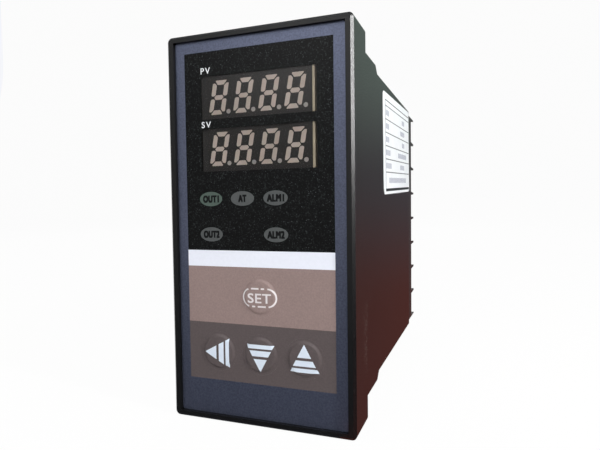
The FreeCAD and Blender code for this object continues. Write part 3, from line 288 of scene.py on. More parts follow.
class StageSettings(bpy.types.PropertyGroup):
    """Camera, lamps, floor and backdrop."""
    camera: position("Camera", "Place of the camera", (51.08 * MM, -120.79 * MM, 5.41 * MM))
    yaw: turn("Yaw", "Camera turned to the left", 20.31)
    pitch: turn("Pitch", "Camera turned up", -2.43)
    roll: turn("Roll", "Camera turned about its view", -0.724)
    lens: amount("Lens", "Focal length in millimetres", 30.19)
    sensor: amount("Sensor", "Width of the sensor in millimetres", 36)
    shift: FloatVectorProperty(name="Shift", description="Lens shift", size=2, default=(0.00168, 0.0046))
    nearest: length("Nearest", "The camera sees nothing nearer than this", 5)
    key_place: position("Key lamp", "Lamp at the upper right", (0.2, -0.36, 0.38))
    key_size: length("Key size", "Side of the lamp at the upper right", 260)
    key_power: amount("Key power", "Watts of the lamp at the upper right", 1.25)
    fill_place: position("Fill lamp", "Large lamp over the camera", (-0.24, -0.8, 0.43))
    fill_size: length("Fill size", "Side of the large lamp over the camera", 400)
    fill_power: amount("Fill power", "Watts of the large lamp over the camera", 2.15)
    edge_place: position("Edge lamp", "Narrow upright lamp at the right front edge", (0.27, -0.075, 0.165))
    edge_width: length("Edge lamp width", "Width of the narrow lamp", 20)
    edge_height: length("Edge lamp height", "Height of the narrow lamp", 240)
    edge_power: amount("Edge power", "Watts of the narrow lamp, as reflections see it", 1.9)
    side_power: amount("Side power", "Watts of the same lamp, as dull light on the right side", 0.95)
    rear_place: position("Rear lamp", "Lamp behind the object", (-0.3, 0.95, 0.7))
    rear_size: length("Rear size", "Side of the lamp behind the object", 800)
    rear_power: amount("Rear power", "Watts of the lamp behind the object", 4.0)
    aim_back: length("Aim", "Point that the large lamps face, behind the panel", 30)
    room_light: amount("Room light", "Brightness of the room", 0.29)
    room_seen: amount("Room as seen", "Brightness of the room as the camera sees it past the backdrop", 1.0)
    room_colour: paint("Room", "Colour of the room's light", "#f4f6fa")
    floor_colour: paint("Floor", "Floor and backdrop", "#efeeec")
    floor_gap: length("Floor gap", "Space between the object and the floor", 0.05)
    card_lift: length("Card lift", "How far the tinted card lies over the floor and the dark one", 0.02)
    floor_lift: amount("Floor lift", "Share of plain white in the floor as the camera sees it", 0.96)
    floor_front: length("Floor front", "Front end of the floor before the panel", 2500)
    floor_bend: length("Floor bend", "Where the floor starts to rise behind the panel", 1100)
    bend_radius: length("Bend radius", "Radius of the bend between floor and backdrop", 900)
    backdrop: length("Backdrop", "Height of the backdrop", 2600)
    floor_half: length("Floor half width", "Half the width of floor and backdrop", 2500)
    front_card_reach: length("Front card reach", "Dark card: its front end before the panel", 220)
    front_card_end: length("Front card end", "Dark card: its back end before the panel", 4)
    front_card_left: length("Front card left", "Dark card: its left edge", -220)
    front_card_colour: paint("Front card", "Dark card on the floor before the object", "#5c5d66")
    card_reach: length("Card reach", "Tinted card: its front end before the panel", 20)
    card_back: length("Card back", "Tinted card: its upright part behind the panel", 210)
    card_left: length("Card left", "Tinted card: its left edge, under the object's right side", 20)
    card_right: length("Card right", "Right edge of both cards", 420)
    card_height: length("Card height", "Tinted card: its upper edge over the floor", 420)
    card_low: paint("Card foot", "Tinted card at the floor", "#a05950")
    card_middle: paint("Card middle", "Tinted card between its foot and its top", "#817c84")
    card_high: paint("Card top", "Upper part of the tinted card", "#c3dace")
    foot_end: length("Foot end", "Tinted card: height at which its foot has turned to its middle", 60)
    top_start: length("Top start", "Tinted card: height at which its middle starts to turn", 80)
    top_end: length("Top end", "Tinted card: height at which it has turned to its top", 140)
    card_strength: amount("Card strength", "Brightness of both cards", 1.05)


# ---------------------------------------------------------------- shapes

def rectangle(left, bottom, right, top, levels=()):
    """Anticlockwise corners of a rectangle, with extra points on both upright sides at the levels."""
    rising = [bottom, *sorted(levels), top]
    return np.array([(right, v) for v in rising] + [(left, v) for v in reversed(rising)])


def rounded(left, bottom, right, top, radius):
    """A rectangle with round corners: corner centre + radius * (cos a, sin a), a over a quarter turn."""
    quarter = np.linspace(0, np.pi / 2, CORNER_STEPS + 1)
    centres = [(right - radius, top - radius), (left + radius, top - radius),
               (left + radius, bottom + radius), (right - radius, bottom + radius)]
    arcs = [np.column_stack([u + radius * np.cos(quarter + k * np.pi / 2),
                             v + radius * np.sin(quarter + k * np.pi / 2)])
            for k, (u, v) in enumerate(centres)]
    return np.concatenate(arcs)


def oval(u, v, width, height, steps=ROUND_STEPS):
    """An ellipse: (u + width / 2 * cos a, v + height / 2 * sin a)."""
    angle = np.linspace(0, 2 * np.pi, steps, endpoint=False)
    return np.column_stack([u + width / 2 * np.cos(angle), v + height / 2 * np.sin(angle)])


def eased(loop, reach):
    """A closed outline with its corners rounded: from a point before the corner to a point after it, along
    (1 - t) squared * before + 2 t (1 - t) * corner + t squared * after."""
    t = np.linspace(0, 1, EASED_STEPS)[None, :, None]
    corner = np.asarray(loop, float)[:, None]
    ahead = np.roll(corner, -1, axis=0) - corner
    span = np.linalg.norm(ahead, axis=2, keepdims=True)
    ahead = ahead / span * np.minimum(reach, span * EASED_SHARE)
    behind = np.roll(-ahead, 1, axis=0)
    return (corner + behind * (1 - t) ** 2 + ahead * t ** 2).reshape(-1, 2)


def turned(flat, faces):
    """The same flat faces, each one anticlockwise."""
    a, b, c = (flat[faces[:, k]] for k in range(3))
    area = (b[:, 0] - a[:, 0]) * (c[:, 1] - a[:, 1]) - (b[:, 1] - a[:, 1]) * (c[:, 0] - a[:, 0])
    return np.where(area[:, None] < 0, faces[:, ::-1], faces)


def filled(loops):
    """Triangles of the flat area inside the first loop and outside the others."""
    corners = [np.column_stack([loop, np.zeros(len(loop))]).tolist() for loop in loops]
    flat = np.concatenate(loops)
    return flat, turned(flat, np.array(tessellate_polygon(corners)))


def grid(flat):
    """Quads over a two-parameter grid of flat points, shape (rows, columns, 2)."""
    rows, columns = flat.shape[:2]
    index = np.arange(rows * columns).reshape(rows, columns)
    faces = np.stack([index[:-1, :-1], index[:-1, 1:], index[1:, 1:], index[1:, :-1]], -1).reshape(-1, 4)
    points = flat.reshape(-1, 2)
    return points, turned(points, faces)


def disc(radii, steps=ROUND_STEPS):
    """Rings of points (r cos a, r sin a) round a middle point, joined by triangles."""
    angle = np.linspace(0, 2 * np.pi, steps, endpoint=False)
    rings = np.stack([np.outer(radii, np.cos(angle)), np.outer(radii, np.sin(angle))], -1)
    flat = np.concatenate([np.zeros((1, 2)), rings.reshape(-1, 2)])
    near = 1 + np.arange(len(radii) * steps).reshape(-1, steps)
    after = np.roll(near, -1, axis=1)
    middle = np.column_stack([np.zeros(steps, int), near[0], after[0]])
    first = np.stack([near[:-1], near[1:], after[1:]], -1).reshape(-1, 3)
    second = np.stack([near[:-1], after[1:], after[:-1]], -1).reshape(-1, 3)
    return flat, np.concatenate([middle, first, second])


def merged(flat, faces):
    """Joins flat points that lie in the same place and drops faces that lose a corner by it. The third
    value tells which faces stay."""
    kept, index = np.unique(np.round(flat / SAME_PLACE), axis=0, return_index=True, return_inverse=True)[1:]
    faces = np.reshape(index, -1)[faces]
    corners = np.sort(faces, axis=1)
    whole = (corners[:, 1:] != corners[:, :-1]).all(axis=1)
    return flat[kept], faces[whole], whole


def slab(flat, faces, low, high):
    """A closed slab over flat faces: top at height high, underside at height low, and a wall along every
    edge that only one face has. The heights are numbers or one value a point."""
    count = len(flat)
    top = np.column_stack([flat, np.broadcast_to(high, count)])
    bottom = np.column_stack([flat, np.broadcast_to(low, count)])
    starts, ends = faces.ravel(), np.roll(faces, -1, axis=1).ravel()
    rim = ~np.isin(starts * count + ends, ends * count + starts)
    walls = np.column_stack([starts[rim] + count, ends[rim] + count, ends[rim], starts[rim]])
    sides = faces.tolist() + (faces[:, ::-1] + count).tolist() + walls.tolist()
    return np.concatenate([top, bottom]), sides


def together(shapes):
    """Several shapes as one: points in a row, face numbers moved on by the points before them."""
    offsets = np.cumsum([0] + [len(points) for points, faces in shapes])
    faces = [[corner + int(offset) for corner in face]
             for offset, (points, sides) in zip(offsets, shapes) for face in sides]
    return np.concatenate([points for points, sides in shapes]), faces


def standing(shapes, face, origin=(0, 0, 0)):
    """Shapes made flat, joined and stood on a face: point (u, v, w) goes to origin + u * right + v * up
    + w * outward of that face."""
    points, sides = together(shapes)
    return points @ np.array(FACES[face], float) + np.asarray(origin, float), sides


def strip(path, width):
    """A band of the given width along a flat path: path + t * width / 2 * normal, t from -1 to 1."""
    along = np.gradient(path, axis=0)
    along /= np.linalg.norm(along, axis=1, keepdims=True)
    normal = np.column_stack([-along[:, 1], along[:, 0]])
    across = np.linspace(-1, 1, STRIP_COLUMNS)[None, :, None]
    return grid(path[:, None] + across * width / 2 * normal[:, None])


def word(text, width, height, spacing=1.0):
    """A word in Blender's own font as flat triangles about the middle of its box, stretched to the size:
    (point - middle) / own size * wanted size."""
    curve = bpy.data.curves.new("word", "FONT")
    curve.body = text
    curve.space_character = spacing
    curve.resolution_u = FONT_STEPS
    holder = bpy.data.objects.new("word", curve)
    bpy.context.scene.collection.objects.link(holder)
    bpy.context.view_layer.update()
    mesh = bpy.data.meshes.new_from_object(holder)
    mesh.calc_loop_triangles()
    flat = np.empty(len(mesh.vertices) * 3)
    mesh.vertices.foreach_get("co", flat)
    faces = np.empty(len(mesh.loop_triangles) * 3, int)
    mesh.loop_triangles.foreach_get("vertices", faces)
    bpy.data.objects.remove(holder)
    bpy.data.curves.remove(curve)
    bpy.data.meshes.remove(mesh)
    flat = flat.reshape(-1, 3)[:, :2]
    low, high = flat.min(axis=0), flat.max(axis=0)
    flat = (flat - (low + high) / 2) / (high - low) * (width, height)
    return merged(flat, turned(flat, faces.reshape(-1, 3)))[:2]


def heavy_word(text, middle, width, height, weight, spacing):
    """Five flat copies of a word: one at its middle and one moved by the weight to each corner round it,
    which makes its strokes wider by twice the weight."""
    flat, faces = word(text, width - 2 * weight, height - 2 * weight, spacing)
    return [(flat + shift, faces) for shift in np.multiply(WORD_COPIES, weight) + middle]


def printed(marks, ground, sink, lift):
    """Flat marks as closed slabs from ground - sink to ground + lift, each a layer over the one before.
    Ground gives the height under flat points."""
    return [slab(flat, faces, ground(flat) - sink, ground(flat) + lift + layer * LAYER)
            for layer, (flat, faces) in enumerate(marks)]


def make_piece(name, shape, materials, slot=None, body="housing", marks=None, crease=None):
    """Puts a shape into a mesh object at the origin that rides on a body. Marks give each face its material.
    With a crease, edges flatter than that angle are shaded smooth. The slot is not used; the label's pieces
    give none."""
    points, faces = shape
    mesh = bpy.data.meshes.new(name)
    mesh.from_pydata(points.tolist(), [], faces)
    for material in materials:
        mesh.materials.append(material)
    if marks is not None:
        mesh.polygons.foreach_set("material_index", np.asarray(marks, np.int32))
    if crease is not None:
        mesh.polygons.foreach_set("use_smooth", np.ones(len(faces), bool))
        mesh.set_sharp_from_angle(angle=crease)
    mesh.update()
    piece = bpy.data.objects.new(name, mesh)
    bpy.context.scene.collection.objects.link(piece)
    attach(piece, body)
    return piece


# ---------------------------------------------------------------- finishes

SLOW_NOISE, FINE_NOISE = (0.35, 0.65), (0.3, 0.7)  # between which values a noise makes its full change


def add(tree, kind, sockets=None, **settings):
    """Adds one node, makes its settings and fills its sockets: an output, or a node's first output, is
    linked, and a value is set."""
    node = tree.nodes.new(kind)
    for name, value in settings.items():
        setattr(node, name, value)
    for name, value in (sockets or {}).items():
        if isinstance(value, bpy.types.Node):
            value = value.outputs[0]
        if isinstance(value, bpy.types.NodeSocket):
            tree.links.new(value, node.inputs[name])
        else:
            node.inputs[name].default_value = value
    return node


def shade(colour, factor=1.0):
    """A colour socket's four numbers: the colour times a factor, and full cover."""
    return (*np.clip(np.array(colour) * factor, 0, 1).tolist(), 1.0)


def surface(name, colour, roughness, grain, relief, spread=0.08, drift=6 * MM, sockets=None):
    """A Principled surface. Its colour runs between (1 - spread) and (1 + spread) of itself with a noise of
    size drift. Its roughness runs between its two values with a noise of size grain, which also raises the
    surface by relief. Sizes in metres."""
    material = bpy.data.materials.new(name)
    material.use_nodes = True
    tree = material.node_tree
    shader = tree.nodes["Principled BSDF"]
    place = add(tree, "ShaderNodeTexCoord").outputs["Object"]
    slow = add(tree, "ShaderNodeTexNoise", {"Vector": place, "Scale": 1 / drift, "Detail": 3.0})
    fine = add(tree, "ShaderNodeTexNoise", {"Vector": place, "Scale": 1 / grain, "Detail": 2.0})
    share = add(tree, "ShaderNodeMapRange", {"Value": slow, "From Min": SLOW_NOISE[0],
                                             "From Max": SLOW_NOISE[1]})
    tint = add(tree, "ShaderNodeMix", {0: share, 6: shade(colour, 1 - spread), 7: shade(colour, 1 + spread)},
               data_type="RGBA")
    gloss = add(tree, "ShaderNodeMapRange", {"Value": fine, "From Min": FINE_NOISE[0],
                                             "From Max": FINE_NOISE[1], "To Min": roughness[0],
                                             "To Max": roughness[1]})
    bump = add(tree, "ShaderNodeBump", {"Height": fine, "Distance": relief})
    tree.links.new(tint.outputs[2], shader.inputs["Base Color"])
    tree.links.new(gloss.outputs[0], shader.inputs["Roughness"])
    tree.links.new(bump.outputs[0], shader.inputs["Normal"])
    for socket, value in (sockets or {}).items():
        shader.inputs[socket].default_value = value
    return material


def over(material, colour, cover):
    """Lays another colour over a surface where cover, a function of the tree and the place, gives 1."""
    tree = material.node_tree
    base = tree.nodes["Principled BSDF"].inputs["Base Color"]
    place = tree.nodes["Texture Coordinate"].outputs["Object"]
    tint = add(tree, "ShaderNodeMix", {0: cover(tree, place), 6: base.links[0].from_socket,
                                       7: shade(colour)}, data_type="RGBA")
    tree.links.new(tint.outputs[2], base)
    return material


def flecks(size, start, end):
    """Cover that rises from 0 to 1 where a noise of that size passes from start to end."""
    def cover(tree, place):
        noise = add(tree, "ShaderNodeTexNoise", {"Vector": place, "Scale": 1 / size, "Detail": 1.0})
        return add(tree, "ShaderNodeMapRange", {"Value": noise, "From Min": start, "From Max": end})

    return cover


def printed_film(name, colour, spread=0.07, metal=0.0):
    # Matt polyester film printed on its back: an even colour with a faint grain and a wide soft sheen.
    # The film's own grain is about 0.05 mm, drawn at 0.25 mm so that it shows.
    return surface(name, colour, (0.38, 0.52), 0.25 * MM, 0.01 * MM, spread, 0.4 * MM,
                   {"Specular IOR Level": 0.3, "Metallic": metal})


def pearl_film(name, colour):
    # Ink with a little mica under the film: slate blue, paler where it mirrors a lamp.
    return printed_film(name, colour, spread=0.14, metal=0.75)


def flake_and_painted_glint_film(name, colour):
    # Black ink with metal flake under the film: near black, with pale pin-point flecks in two sizes painted
    # into its colour.
    # The flecks are partly the flake's own paleness and partly painted glints, standing in for flake that
    # catches the light.
    # Real flakes are some 0.1 mm, drawn at 0.25 and 0.45 mm so that they show.
    material = surface(name, colour, (0.3, 0.42), 0.25 * MM, 0.006 * MM, 0.2, 0.5 * MM,
                       {"Specular IOR Level": 0.08})
    # Both fleck layers are painted glints laid into the colour as well as pale flake, not a reflection of a
    # lamp.
    material = over(material, linear("#232626"), flecks(0.45 * MM, 0.56, 0.76))
    return over(material, linear("#505355"), flecks(0.25 * MM, 0.68, 0.79))


def smoked_window(name, colour, alpha):
    # Unprinted film with a brown smoke tint: clear enough to see the unlit segments, with a soft gloss.
    return surface(name, colour, (0.2, 0.3), 0.8 * MM, 0.002 * MM, 0.05,
                   sockets={"Alpha": alpha, "Specular IOR Level": 0.4})


def screen_ink(name, colour):
    # Screen ink: flat opaque paint with a slightly uneven, matt face.
    return surface(name, colour, (0.45, 0.6), 0.2 * MM, 0.003 * MM, 0.015, 0.6 * MM,
                   {"Specular IOR Level": 0.15})


def textured_plastic(name, finish, bezel):
    # ABS from a spark-eroded mould: black, with a 0.3 mm orange-peel grain that spreads its reflections.
    # Handling has polished the front edges, which mirror a lamp as a thin bright line, and has rubbed pale
    # specks into the lower right edge of the frame.
    material = surface(name, finish.plastic, (0.36, 0.5), 0.3 * MM, 0.012 * MM, 0.15, 9 * MM,
                       {"Specular IOR Level": 0.27})
    tree = material.node_tree
    part = add(tree, "ShaderNodeSeparateXYZ", {"Vector": tree.nodes["Texture Coordinate"].outputs["Object"]})
    outward = add(tree, "ShaderNodeMath", {0: part.outputs["X"], 1: part.outputs["Y"]}, operation="SUBTRACT")
    # How far right and forward together a point lies tells the chamfer. The polish fades in just before it.
    chamfer = bezel[1].x - bezel[0].y - finish.edge
    edge = add(tree, "ShaderNodeMapRange", {"Value": outward, "From Min": chamfer - 0.08 * MM,
                                            "From Max": chamfer - 0.03 * MM})
    rough = tree.nodes["Principled BSDF"].inputs["Roughness"]
    share = add(tree, "ShaderNodeMapRange", {"Value": edge, "To Min": 1.0, "To Max": finish.polish})
    gloss = add(tree, "ShaderNodeMath", {0: rough.links[0].from_socket, 1: share}, operation="MULTIPLY")
    tree.links.new(gloss.outputs[0], rough)
    relief = tree.nodes["Bump"].inputs["Distance"]
    depth = add(tree, "ShaderNodeMapRange", {"Value": edge, "To Min": relief.default_value,
                                             "To Max": relief.default_value * finish.edge_relief})
    tree.links.new(depth.outputs[0], relief)
    # Along each axis, where the rubbed specks start and where they are in full.
    right = bezel[1].x
    limits = (("X", right - 0.5 * MM, right - 0.1 * MM), ("Y", -4.5 * MM, -0.5 * MM),
              ("Z", -17 * MM, -21 * MM), ("Z", -36 * MM, -32 * MM))

    def cover(tree, place):
        speck = flecks(0.5 * MM, 0.62, 0.7)(tree, place)
        for axis, start, end in limits:
            near = add(tree, "ShaderNodeMapRange", {"Value": part.outputs[axis], "From Min": start,
                                                    "From Max": end})
            speck = add(tree, "ShaderNodeMath", {0: speck, 1: near}, operation="MULTIPLY")
        return speck

    return over(material, finish.worn, cover)


def block_plastic(name, colour):
    # Glass-filled PBT: a duller black than the case, with faint grey fibre flecks.
    material = surface(name, colour, (0.5, 0.66), 0.22 * MM, 0.008 * MM, 0.12, 5 * MM,
                       {"Specular IOR Level": 0.4, "IOR": 1.56})
    return over(material, linear("#3a3a3b"), flecks(0.35 * MM, 0.66, 0.76))


def display_moulding(name, colour):
    # Moulded polycarbonate: even cream with a satin face.
    return surface(name, colour, (0.4, 0.5), 0.3 * MM, 0.003 * MM, 0.04)


def display_shell(name, finish, front):
    # Polycarbonate display body, cream at its sides, with a dark printed face that sets off the segments.
    def cover(tree, place):
        depth = add(tree, "ShaderNodeSeparateXYZ", {"Vector": place}).outputs["Y"]
        return add(tree, "ShaderNodeMath", {0: depth, 1: front + finish.face_depth},
                   operation="LESS_THAN")

    return over(display_moulding(name, finish.display_side), finish.display_face, cover)


def display_print(name, colour):
    # Dark print on the face of a display: dull, so that the cream bars stand out.
    return surface(name, colour, (0.5, 0.6), 0.3 * MM, 0.003 * MM, 0.1)


def display_foam(name, colour):
    # Foam rubber beside a display: dark and without gloss, with pores of 0.4 mm.
    return surface(name, colour, (0.7, 0.8), 0.4 * MM, 0.01 * MM, 0.1)


def plated_steel(name, colour):
    # Nickel-plated steel: a warm grey metal with fine tumbling marks and duller spots.
    material = surface(name, colour, (0.24, 0.42), 0.25 * MM, 0.004 * MM, 0.08, 1.5 * MM, {"Metallic": 1.0})
    return over(material, linear("#8d8a82"), flecks(0.8 * MM, 0.6, 0.75))


def rolled_brass(name, colour):
    # Stamped brass strip: yellow metal, a little brown where the lacquer is thin.
    material = surface(name, colour, (0.25, 0.4), 0.3 * MM, 0.003 * MM, 0.08, 2 * MM, {"Metallic": 1.0})
    return over(material, linear("#7c6238"), flecks(1.2 * MM, 0.58, 0.75))


def segment_resin(name, colour):
    # Diffused epoxy of an unlit segment: pinkish cream, softly glossy.
    return surface(name, colour, (0.4, 0.55), 0.3 * MM, 0.003 * MM,
                   sockets={"Subsurface Weight": 0.15, "Subsurface Scale": 0.6 * MM})


def circuit_board(name):
    # FR-4 board under green solder mask: glossy green, with the glass weave just showing.
    material = surface(name, linear("#1f5a3a"), (0.25, 0.38), 0.5 * MM, 0.006 * MM, 0.12, 4 * MM)
    return over(material, linear("#3b7a55"), flecks(1.4 * MM, 0.56, 0.6))


def label_paper(name, colour):
    # Coated label paper: white, faintly mottled, with a satin face.
    return surface(name, colour, (0.4, 0.55), 0.4 * MM, 0.004 * MM, 0.025, 5 * MM)


# Small parts inside: real name, colour, roughness, grain and relief in millimetres, and shader values.
INNER_FINISHES = {
    # acetal rod: milky white, waxy
    "stem_plastic": ("Acetal, natural", "#d9d6cc", (0.35, 0.45), 0.5, 0.003, {}),
    # nylon with glass fibre: black, dry
    "black_moulding": ("Glass-filled nylon, black", "#202022", (0.48, 0.62), 0.25, 0.006, {}),
    # diffused epoxy of a lamp: pale green-grey
    "lamp_resin": ("Diffused epoxy, pale", "#a9b3a4", (0.3, 0.4), 0.4, 0.002,
                   {"Subsurface Weight": 0.1, "Subsurface Scale": 0.8 * MM}),
    # sintered ferrite: dark grey, slightly metallic, chalky
    "ferrite": ("Sintered ferrite", "#3a3b3d", (0.55, 0.7), 0.2, 0.006, {"Metallic": 0.2}),
    # polyester winding tape: yellow, glossy
    "winding_tape": ("Polyester winding tape, yellow", "#d9b23a", (0.2, 0.32), 0.8, 0.006, {}),
    # shrunk PVC sleeve: deep blue, glossy
    "capacitor_sleeve": ("PVC sleeve, blue", "#1d2f57", (0.22, 0.34), 0.6, 0.004, {}),
    # dipped epoxy: blue, uneven
    "varistor_coat": ("Dipped epoxy, blue", "#2f6fa8", (0.3, 0.48), 0.7, 0.012, {}),
    # relay cover of PBT: mid blue, satin
    "relay_cover": ("PBT relay cover, blue", "#2b5f9e", (0.34, 0.46), 0.35, 0.004, {}),
    # transfer-moulded epoxy: charcoal, matt
    "chip_epoxy": ("Moulded epoxy, charcoal", "#29292b", (0.55, 0.68), 0.15, 0.004, {}),
    # moulded fuse body: brown-black, satin
    "fuse_cover": ("Moulded phenolic, brown", "#3d2a22", (0.38, 0.5), 0.4, 0.004, {}),
}


def slot_nodes(slot):
    """The CAD nodes that the record gives to a material slot."""
    return [frame["nodes"][entry["node"]] for entry in frame["record"]["subparts"]
            if entry["material_slot"] == slot]


def dress(slot, material):
    """Gives a material to every CAD node of a slot."""
    for node in slot_nodes(slot):
        node.data.materials.clear()
        node.data.materials.append(material)


# ---------------------------------------------------------------- pieces

KEYS = {"set": None, "shift": (-1, 0), "down": (0, -1), "up": (0, 1)}  # which way each arrow points
DISPLAYS = ("pv", "sv")
FIGURES = 4  # in each display
LAMP_WORDS = {"OUT1": (-12.7, 7.5), "AT": (-4.05, 7.5), "ALM1": (4.65, 7.5), "OUT2": (-12.7, -1.25),
              "ALM2": (4.65, -1.25)}  # millimetres right and up of the middle
# Bars of a figure before it leans, in millimetres from its middle, and the sides on which each stands.
FIGURE_BARS = (
    (((1.02, 0.68), (1.28, 0.37), (1.93, 0.37), (2.17, 0.64), (2.17, 3.3), (2.05, 3.45), (1.56, 3.45),
      (1.02, 2.87)), ((1, 1), (-1, 1), (-1, -1), (1, -1))),
    (((-0.8, 3.04), (0.8, 3.04), (1.48, 3.93), (1.4, 4.12), (-1.4, 4.12), (-1.48, 3.93)), ((1, 1), (1, -1))),
    (((-1.26, 0.0), (-0.86, -0.55), (0.86, -0.55), (1.26, 0.0), (0.86, 0.55), (-0.86, 0.55)), ((1, 1),)),
)
ARROW_SLICES = ((0.012, 0.475), (0.575, 0.78), (0.855, 1.0))  # shares of the length, tip to base
RING_ARCS = ((-1, 107.8, 256.1), (1, 90.0, -83.6))  # side of the outline, first and last angle in degrees
RING_DASHES = ((1, -2.14, -0.14), (1, 0.46, 1.33), (-1, -0.42, 1.68), (-1, -1.9, -1.09))  # millimetres
TERMINAL_ROWS = 8
SCREW_TURNS = (1.9, 0.7)  # radians that a recess is turned from one column and one row to the next
# Where each group of dashes in a row starts, in millimetres from the frame, and how many it has.
LABEL_ROWS = (((1.2, 3), (33.0, 3)), ((1.2, 3), (29.5, 5)), ((1.2, 3), (33.0, 3)), ((1.2, 4), (24.0, 10)),
              ((1.2, 5), (28.5, 5)), ((6.0, 19),))


def key_middle(name):
    """Middle (x, z) and radius of a key's patch, from its CAD node."""
    low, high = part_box(f"{name}_key_dome")
    return (low.x + high.x) / 2, (low.z + high.z) / 2, (high.x - low.x) / 2


def film_levels():
    """Heights of the film's back and front face outward from the panel."""
    low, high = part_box("overlay_film")
    return -high.y, -low.y


class CONTROLLER_OT_front_film(bpy.types.Operator):
    """Makes the printed front film with its display windows and lamp fields"""
    bl_idname = "controller.front_film"
    bl_label = "Front film"

    def execute(self, context):
        film = context.scene.controller_film
        low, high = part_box("overlay_film")
        levels = (film.stripe_top, film.key_band_top, film.arrow_band_top)
        holes = {}
        for name in KEYS:
            x, z, radius = key_middle(name)
            holes[name] = oval(x, z, 2 * (radius + film.key_gap), 2 * (radius + film.key_gap))
        windows = [rectangle(film.window_left, z - film.window_height / 2, film.window_right,
                             z + film.window_height / 2) for z in (film.upper_window, film.lower_window)]
        ovals = [oval(x * MM, z * MM, film.oval_width, film.oval_height, OVAL_STEPS)
                 for x, z in LAMP_WORDS.values()]
        materials = [
            pearl_film("Printed polyester, slate", film.border_colour),
            flake_and_painted_glint_film("Printed polyester, black flake and painted glints", film.black_colour),
            screen_ink("Screen ink under film, white", film.stripe_colour),
            printed_film("Printed polyester, taupe", film.key_band_colour),
            printed_film("Printed polyester, brown", film.arrow_band_colour),
            smoked_window("Smoked polyester window", film.window_colour, film.window_alpha),
            printed_film("Printed polyester, green-grey", film.oval_first_colour),
            printed_film("Printed polyester, grey", film.oval_colour),
        ]
        border, black, stripe, taupe, brown, window, first_oval, other_oval = range(len(materials))
        left, right = film.block_left, film.block_right
        fields = [
            (border, [rounded(low.x, low.z, high.x, high.z, film.corner),
                      rectangle(left, film.arrow_band_end, right, film.block_top, levels)]),
            (black, [rectangle(left, film.stripe_top, right, film.block_top), *windows, *ovals]),
            (stripe, [rectangle(left, film.key_band_top, right, film.stripe_top)]),
            (taupe, [rectangle(left, film.arrow_band_top, right, film.key_band_top), holes["set"]]),
            (brown, [rectangle(left, film.arrow_band_end, right, film.arrow_band_top),
                     holes["shift"], holes["down"], holes["up"]]),
            (window, [windows[0]]), (window, [windows[1]]), (first_oval, [ovals[0]]),
            *[(other_oval, [loop]) for loop in ovals[1:]],
        ]
        areas = [filled(loops) for mark, loops in fields]
        flat, faces = together(areas)
        marks = np.repeat([mark for mark, loops in fields], [len(triangles) for points, triangles in areas])
        flat, faces, whole = merged(flat, np.array(faces))
        points, sides = slab(flat, faces, *film_levels())
        walls = np.full(len(sides) - 2 * len(faces), border)
        marks = np.concatenate([marks[whole], marks[whole], walls])
        piece = make_piece("printed_film", standing([(points, sides)], "front"), materials, "front_film",
                           marks=marks)
        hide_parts("overlay_film")
        return {"FINISHED"}


class CONTROLLER_OT_display_edges(bpy.types.Operator):
    """Makes a cream strip facing forward at the right of each display, painted light in place of the
    display's side lit from the right, and the dark gasket at its left
    """
    bl_idname = "controller.display_edges"
    bl_label = "Display edges"

    def execute(self, context):
        film = context.scene.controller_film
        high = film_levels()[0] - film.edge_gap
        low = high - film.edge_depth
        edges, gaskets = [], []
        for name in DISPLAYS:
            first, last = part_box(f"{name}_display_housing")
            # The cream strip is painted light: a forward face in place of the housing's lit side wall.
            edge = rectangle(last.x, first.z, last.x + film.edge_width, last.z)
            gasket = rectangle(film.window_left, first.z, first.x, last.z)
            edges.append(slab(*filled([edge]), low, high))
            gaskets.append(slab(*filled([gasket]), low, high))
        for name, shapes, finish in (
                ("display_edges", edges, display_moulding("Polycarbonate, cream, painted lit side", film.painted_lit_side_colour)),
                ("display_gaskets", gaskets, display_foam("Foam rubber, dark", film.gasket_colour))):
            make_piece(name, standing(shapes, "front"), [finish], "display_shell")
        return {"FINISHED"}


class CONTROLLER_OT_display_figures(bpy.types.Operator):
    """Makes the dark printed faces of both displays and the resin bars and points of their figures"""
    bl_idname = "controller.display_figures"
    bl_label = "Display figures"

    def execute(self, context):
        film = context.scene.controller_film
        lean = np.array([(1, 0), (math.tan(film.figure_lean), 1)])
        loops = [eased(np.array(loop) * MM * sign, film.figure_ease) @ lean
                 for loop, signs in FIGURE_BARS for sign in np.array(signs)]
        point = oval(film.point_x, film.point_z, film.point_width, film.point_width, SMALL_STEPS)
        point += (math.tan(film.figure_lean) * film.point_z, 0)
        faces, bars, points = [], [], []
        for name in DISPLAYS:
            first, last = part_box(f"{name}_display_housing")
            ground = -first.y
            faces.append(slab(*filled([rectangle(first.x, first.z, last.x, last.z)]),
                              ground - film.face_rise, ground + film.face_rise))
            for figure in range(FIGURES):
                x = film.figure_middle + (figure - (FIGURES - 1) / 2) * film.figure_pitch
                middle = (x, (first.z + last.z) / 2)
                bars += [slab(*filled([loop + middle]), ground, ground + film.bar_rise) for loop in loops]
                points.append(slab(*filled([point + middle]), ground, ground + film.bar_rise))
        dark = context.scene.controller_finishes.display_face
        for name, shapes, finish, slot in (
                ("display_faces", faces, display_print("Printed display face", dark), "display_shell"),
                ("display_bars", bars, segment_resin("Diffused epoxy, cream bars", film.bar_colour),
                 "display_resin"),
                ("display_points", points, segment_resin("Diffused epoxy, grey points", film.point_colour),
                 "display_resin")):
            piece = make_piece(name, standing(shapes, "front"), [finish], slot)
            if name == "display_bars":
                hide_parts("pv_display_segments", "sv_display_segments")
        return {"FINISHED"}


